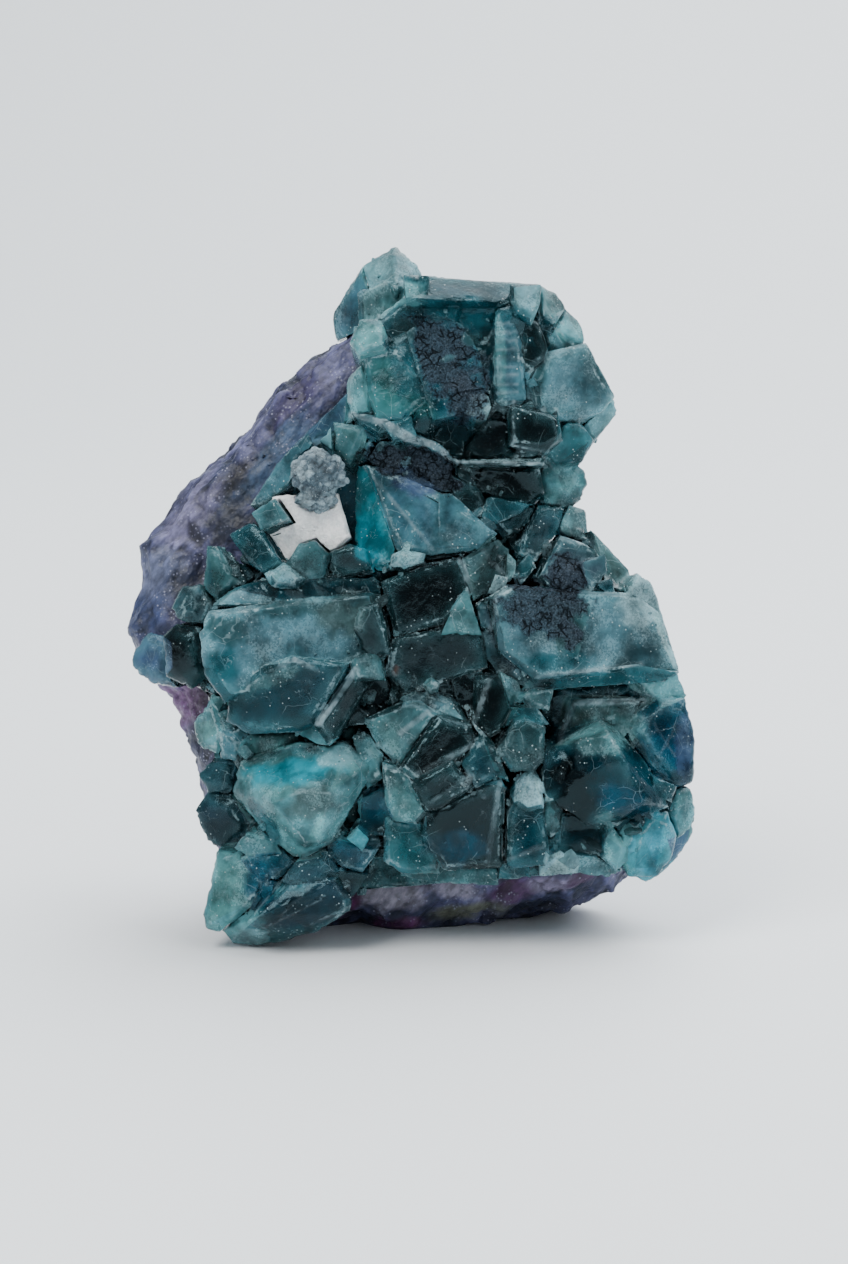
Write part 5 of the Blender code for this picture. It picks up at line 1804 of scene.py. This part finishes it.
    def tone(self, mesh: bpy.types.Mesh) -> None:
        """Gives each chip a tint near its carrier's, and a frosted skin.

        Args:
            mesh: The chips' mesh.
        """
        count = len(mesh.vertices)
        tint = np.zeros(count * 4, np.float32)
        mesh.attributes["tint"].data.foreach_get("color", tint)
        tint = tint.reshape(-1, 4).astype(float)
        chip = np.zeros(count, np.int32)
        mesh.attributes["chip"].data.foreach_get("value", chip)
        for name in ("tint", "skin", "chip", "growth"):
            mesh.attributes.remove(mesh.attributes[name])
        chance = np.random.default_rng(self.seed).uniform(0.0, 1.0, (int(chip.max()) + 1, 3))[chip]
        tint += (self.pale * chance[:, :1]) * (self.PALE_TINT - tint)
        tint[:, :3] *= 0.6 + 0.5 * chance[:, 1:2]
        corner = loop_points(mesh)
        paint(mesh, "tint", np.clip(tint, 0.0, 1.0)[corner])
        # Chips' edges get faint pale lines too: worn skin with a painted highlight.
        wear_and_highlight = 0.15
        skin = np.tile(np.array([0.0, 0.0, wear_and_highlight, 1.0]), (count, 1))
        skin[:, 0] = 0.15 + 0.6 * chance[:, 2]
        paint(mesh, "skin", skin[corner])


@dataclass(frozen=True)
class Zone:
    """A soft patch of another colour on a stone.

    Attributes:
        tone: Its colour.
        middle: Its middle (u, v), in millimetres.
        reach: Its half width and half height, in millimetres.
        turn: How far it is turned, in degrees anticlockwise.
    """

    tone: Colour
    middle: Pair
    reach: Pair
    turn: float = 0.0

    def nearness(self, places: Array) -> Array:
        """How far points (u, v, ...) lie from its middle: 1 on its oval."""
        return oval_distance(places, self.middle, self.reach, self.turn)


ROCK_ZONES: tuple[Zone, ...] = tuple(Zone(*row) for row in (
    (colour(56, 50, 86), (-20, 92), (9, 3.5), 60),
    (colour(50, 70, 92), (-24, 83), (12, 3.0), 50),
    (colour(112, 110, 142), (-38, 74), (7, 3.4), 50),
    (colour(16, 18, 32), (-29.4, 80.8), (4.4, 1.5), 60),
    (colour(18, 20, 34), (-37.0, 70.9), (2.6, 1.3), 115),
    (colour(22, 28, 46), (-30.6, 73.0), (4.8, 2.2), 62),
    (colour(90, 98, 126), (-43, 63), (5, 5)),
    (colour(24, 32, 52), (-39.5, 62), (4, 2.6), 30),
    (colour(40, 52, 84), (-46, 56), (5, 4)),
    (colour(92, 58, 96), (-38, 42), (5, 5)),
    (colour(168, 164, 184), (-3, 8.2), (5.5, 2.6)),
    (colour(96, 36, 84), (-10.6, 6.4), (3.2, 1.4), 50),
    (colour(92, 40, 88), (-2.0, 3.2), (4.4, 1.2)),
    (colour(150, 146, 168), (7.5, 9.2), (5, 1.6), -5),
    (colour(96, 100, 84), (11, 5.4), (7, 1.6), 8),
    (colour(70, 38, 76), (17.5, 8.5), (4.4, 2.0), 10),
    (colour(140, 132, 160), (25, 10.2), (4, 1.6), 10),
    (colour(66, 36, 72), (30, 11.4), (3.4, 1.4), 12),
))


@dataclass
class MassiveRock:
    """The purple massive fluorite under the crystals: a lumpy, granular broken rock.

    Attributes:
        face: The specimen's face frame.
        cover: The relief of the crystals that cover it.
        fine: Longest edge where the front shows, in millimetres.
        coarse: Longest edge on the back, in millimetres.
        covered: Longest edge behind the crystals, in millimetres.
        crisp: Edges that turn by more than this many degrees aren't shaded smooth.
        slack: How far behind the crystals a place still counts as bare, in millimetres.
        lump: Height of its lumps, in millimetres.
        grain: Height of its broken grains, in millimetres.
        grain_pitch: Width of a grain, in millimetres.
        foot: Height over which the rock stays as cut, above the flat base, in millimetres.
        band: How far its slanting band leans from level, in degrees.
    """

    face: FaceFrame
    cover: ReliefMap
    fine: float = 0.90
    coarse: float = 1.7
    covered: float = 5.0
    crisp: float = 32.0
    slack: float = 1.0
    lump: float = 0.9
    grain: float = 0.5
    grain_pitch: float = 2.6
    foot: float = 1.2
    band: float = 52.0

    LUMPS = Swells(6.0, 2.0)
    RIBS = Swells(3.2, 8.0, 3)
    CLOUDS = Swells(12.0, 5.0, 3)
    BANDS = Swells(4.0, 25.0, 3)
    RAGGED = Swells(3.0, 15.0, 3)  # the zones' rims
    SLATE = np.array(colour(26, 34, 56))
    LAVENDER = np.array(colour(78, 80, 114))
    FINISH = StoneFinish("purple_rock", colour(150, 152, 176), pitch=6.0, rough=0.45, bleed=0.15, sparkle=0.7,
                         fibre=2.6, slant=38.0)

    def longest(self, middles: Array, out: Array) -> Array:
        """Finds the longest edge allowed at each place.

        Args:
            middles: Middles of edges, in metres.
            out: Outward directions there.

        Returns:
            Lengths in millimetres.
        """
        bare = self.cover.in_front(self.face.to_face(middles), self.slack)
        front = np.where(bare, self.fine, self.covered)
        return np.where(out @ self.face.direction() < -0.05, self.coarse, front)

    def build(self) -> bpy.types.Object:
        """Makes the piece.

        Returns:
            The dressed rock.
        """
        shape = Shape("matrix")
        shape.refine(self.longest)
        points = shape.points()
        value, dome, border = CellMap(points, self.grain_pitch, 7).sample(points, np.ones(len(points), bool))
        places = self.face.to_face(points)
        jagged_foot = 1.0 + 1.2 * smooth_step(9.0 - places[:, 1], 0.0, 5.0)
        lift = self.lump * (0.6 * self.LUMPS.at(points) + 0.7 * self.RIBS.at(self.along_band(places)))
        lift += self.grain * jagged_foot * (0.6 * dome + 0.5 * value - 0.3)
        lift *= smooth_step(points[:, 2] / MM, 0.05, self.foot)
        shape.move(shape.normals() * (lift * MM)[:, None])
        made = shape.finish("massive_fluorite", self.crisp)
        paint(made.data, "tint", self.tones(points, value, border)[loop_points(made.data)])
        made.data.materials.append(self.FINISH.material())
        settle(made, "matrix", "purple_fluorite")
        return made

    def along_band(self, places: Array) -> Array:
        """Draws points together along the rock's slanting band, so that noise on them makes fibres.

        Args:
            places: One (u, v, p) in millimetres per row.

        Returns:
            The points for the noise, in metres.
        """
        squeeze = 0.3
        slant = math.radians(self.band)
        along = places[:, 0] * math.cos(slant) + places[:, 1] * math.sin(slant)
        beside = places[:, 1] * math.cos(slant) - places[:, 0] * math.sin(slant)
        return np.stack([along * squeeze, beside, places[:, 2]], axis=1) * MM

    def tones(self, points: Array, value: Array, border: Array) -> Array:
        """Colours the rock: slate and lavender with cloudy patches and purple veins.

        Args:
            points: The corners' places before the lumps, in metres.
            value: Each corner's grain's own value, -1 to 1.
            border: How near each corner is to a border between grains, 0 to 1.

        Returns:
            Red, green, blue and alpha of each corner.
        """
        places = self.face.to_face(points)
        fibres = self.along_band(places)
        light = 0.6 * self.CLOUDS.at(points) + 0.6 * self.BANDS.at(fibres) + 0.2 * value
        tone = self.SLATE + smooth_step(light, -0.5, 0.5)[:, None] * (self.LAVENDER - self.SLATE)
        ragged = 0.5 * self.RAGGED.at(fibres)
        for zone in ROCK_ZONES:
            near = smooth_step(1.0 - zone.nearness(places) + ragged, -0.3, 0.5)[:, None] * 0.85
            tone = tone + near * (np.array(zone.tone) - tone)
        tone *= (1.0 + 0.25 * value - 0.35 * border)[:, None]
        return np.concatenate([np.clip(tone, 0.0, 1.0), np.ones((len(points), 1))], axis=1)


@dataclass
class GrainyLump:
    """A small granular piece: the white sugary calcite, or the grey knob crusted with tiny crystals.

    Attributes:
        node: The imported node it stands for.
        name: Name of the piece.
        slot: The record's material slot.
        light: Its lighter colour.
        dark: Its darker colour.
        finish: Its material.
        fine: Longest edge of its mesh, in millimetres.
        grain: Height of its grains, in millimetres.
        grain_pitch: Width of a grain, in millimetres.
        lump: Height of its larger lumps, in millimetres.
        crisp: Edges that turn by more than this many degrees aren't shaded smooth.
    """

    node: str
    name: str
    slot: str
    light: Colour
    dark: Colour
    finish: StoneFinish
    fine: float
    grain: float
    grain_pitch: float
    lump: float
    crisp: float = 35.0

    LUMPS = Swells(3.0, 6.0)
    CLOUDS = Swells(3.5, 12.0, 3)

    def build(self) -> bpy.types.Object:
        """Makes the piece.

        Returns:
            The dressed lump.
        """
        shape = Shape(self.node)
        shape.refine(lambda middles, out: np.full(len(middles), self.fine))
        points = shape.points()
        value, dome, border = CellMap(points, self.grain_pitch, 9).sample(points, np.ones(len(points), bool))
        lift = self.grain * (0.7 * dome + 0.4 * value - 0.4) + self.lump * self.LUMPS.at(points)
        shape.move(shape.normals() * (lift * MM)[:, None])
        made = shape.finish(self.name, self.crisp)
        light, dark = np.array(self.light), np.array(self.dark)
        share = smooth_step(0.4 * value + self.CLOUDS.at(points) - 0.5 * border, -0.7, 0.5)[:, None]
        tone = np.concatenate([dark + share * (light - dark), np.ones((len(points), 1))], axis=1)
        paint(made.data, "tint", tone[loop_points(made.data)])
        made.data.materials.append(self.finish.material())
        settle(made, self.node, self.slot)
        return made


CALCITE = GrainyLump(
    node="white_calcite",
    name="calcite_patch",
    slot="white_calcite",
    light=colour(252, 253, 253),
    dark=colour(228, 233, 234),
    finish=StoneFinish("sugary_calcite", colour(248, 250, 250), pitch=2.5, rough=0.55, bleed=0.35,
                       sparkle=0.6, mottling=0.25),
    fine=0.50,
    grain=0.08,
    grain_pitch=0.8,
    lump=0.15,
)
KNOB = GrainyLump(
    node="drusy_knob",
    name="knob_of_druse",
    slot="grey_druse",
    light=colour(124, 144, 152),
    dark=colour(62, 80, 90),
    finish=StoneFinish("grey_druse", colour(176, 192, 198), pitch=2.5, rough=0.35, bleed=0.2, sparkle=0.8),
    fine=0.28,
    grain=0.62,
    grain_pitch=1.2,
    lump=0.30,
)


@dataclass(frozen=True)
class Lamp:
    """A square soft light.

    Attributes:
        name: Its name.
        place: Where it hangs, in metres.
        size: Length of its side, in metres.
        power: Its power, in watts.
        tone: Its colour.
    """

    name: str
    place: Triple
    size: float
    power: float
    tone: Colour

    def hang(self, target: Vector) -> None:
        """Hangs the lamp.

        Args:
            target: What it points at, in metres.
        """
        light = bpy.data.lights.new(self.name, "AREA")
        light.shape = "SQUARE"
        light.size = self.size
        light.energy = self.power
        light.color = self.tone
        made = bpy.data.objects.new(self.name, light)
        made.location = self.place
        made.rotation_euler = (target - Vector(self.place)).to_track_quat("-Z", "Y").to_euler()
        bpy.context.scene.collection.objects.link(made)


@dataclass
class Studio:
    """The pale floor, the soft lights and the camera.

    Attributes:
        face: The specimen's face frame.
        lens: Focal length, in millimetres.
        frame_height: Height of the camera's frame, in millimetres.
        view_height: Height of the view at the specimen, in metres.
        aim: The middle of the view on the crystal face (u, v), in millimetres.
        sky: Colour of the light from all round.
        sky_power: Its strength.
    """

    face: FaceFrame
    lens: float = 100.0
    frame_height: float = 36.0
    view_height: float = 0.21488
    aim: Pair = (2.55, 53.55)
    sky: Tone = (0.86, 0.91, 0.96, 1.0)
    sky_power: float = 0.345

    LAMPS = (
        Lamp("key", (-0.45, -0.55, 0.95), 0.6, 12.5, (1.0, 0.995, 0.98)),
        Lamp("fill", (0.9, -0.7, 0.7), 0.8, 4.0, (0.94, 0.97, 1.0)),
        Lamp("overhead", (0.42, 0.42, 1.10), 1.5, 36.5, (0.95, 0.98, 1.0)),
    )

    def floor(self) -> None:
        """Makes the floor, which curves up into a backdrop."""
        near, far, radius, top, half_width = -1.6, 0.7, 0.6, 2.4, 2.5
        profile = [(near, 0.0), (far, 0.0)]
        for angle in range(10, 91, 10):
            turn = math.radians(angle)
            profile.append((far + radius * math.sin(turn), radius - radius * math.cos(turn)))
        profile.append((far + radius, top))
        count = len(profile)
        points = [(side * half_width, y, z) for side in (-1, 1) for y, z in profile]
        faces = [(i, i + count, i + count + 1, i + 1) for i in range(count - 1)]
        mesh = bpy.data.meshes.new("floor")
        mesh.from_pydata(points, [], faces)
        mesh.shade_smooth()
        tree = ShaderTree("pale_floor")
        paper = {"Base Color": (*colour(232, 236, 239), 1.0), "Roughness": 0.6}
        mesh.materials.append(tree.finish(tree.node("ShaderNodeBsdfPrincipled", paper)))
        made = bpy.data.objects.new("floor", mesh)
        bpy.context.scene.collection.objects.link(made)

    def camera(self) -> None:
        """Places the camera square on to the crystal face."""
        lens = bpy.data.cameras.new("camera")
        lens.lens = self.lens
        lens.sensor_fit = "VERTICAL"
        lens.sensor_height = self.frame_height
        lens.clip_start = 0.01
        distance = self.view_height * self.lens / self.frame_height
        made = bpy.data.objects.new("camera", lens)
        made.location = self.face.place(*self.aim, 0.0) + Vector(self.face.direction()) * distance
        made.rotation_euler = (math.radians(90.0 - self.face.lean), 0.0, 0.0)
        bpy.context.scene.collection.objects.link(made)
        bpy.context.scene.camera = made

    def build(self) -> None:
        """Sets up the studio."""
        world = bpy.data.worlds.new("studio")
        world.use_nodes = True
        background = world.node_tree.nodes["Background"]
        background.inputs["Color"].default_value = self.sky
        background.inputs["Strength"].default_value = self.sky_power
        bpy.context.scene.world = world
        self.floor()
        for lamp in self.LAMPS:
            lamp.hang(self.face.place(0.0, 55.0, 0.0))
        self.camera()


def main() -> None:
    """Builds the pieces in order and sets up the studio."""
    logging.basicConfig(level=logging.INFO, format="%(name)s: %(message)s")
    face = FaceFrame.of_cluster(*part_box("crystal_cluster"))
    relief = ReliefMap(face, "crystal_cluster", bridge=2.3)
    crystals = CrystalCluster(face, relief).build()
    carried = (crystals, "crystal_cluster", "blue_green_fluorite")
    Chips(*carried, density=15.0, smallest=0.3, largest=1.1, seed=3, pale=0.45).build("crystal_chips")
    Chips(*carried, density=1.6, smallest=1.4, largest=3.4, seed=8, pale=0.1).build("crystal_fragments")
    MassiveRock(face, relief).build()
    CALCITE.build()
    KNOB.build()
    Studio(face).build()


if __name__ == "__main__":
    main()
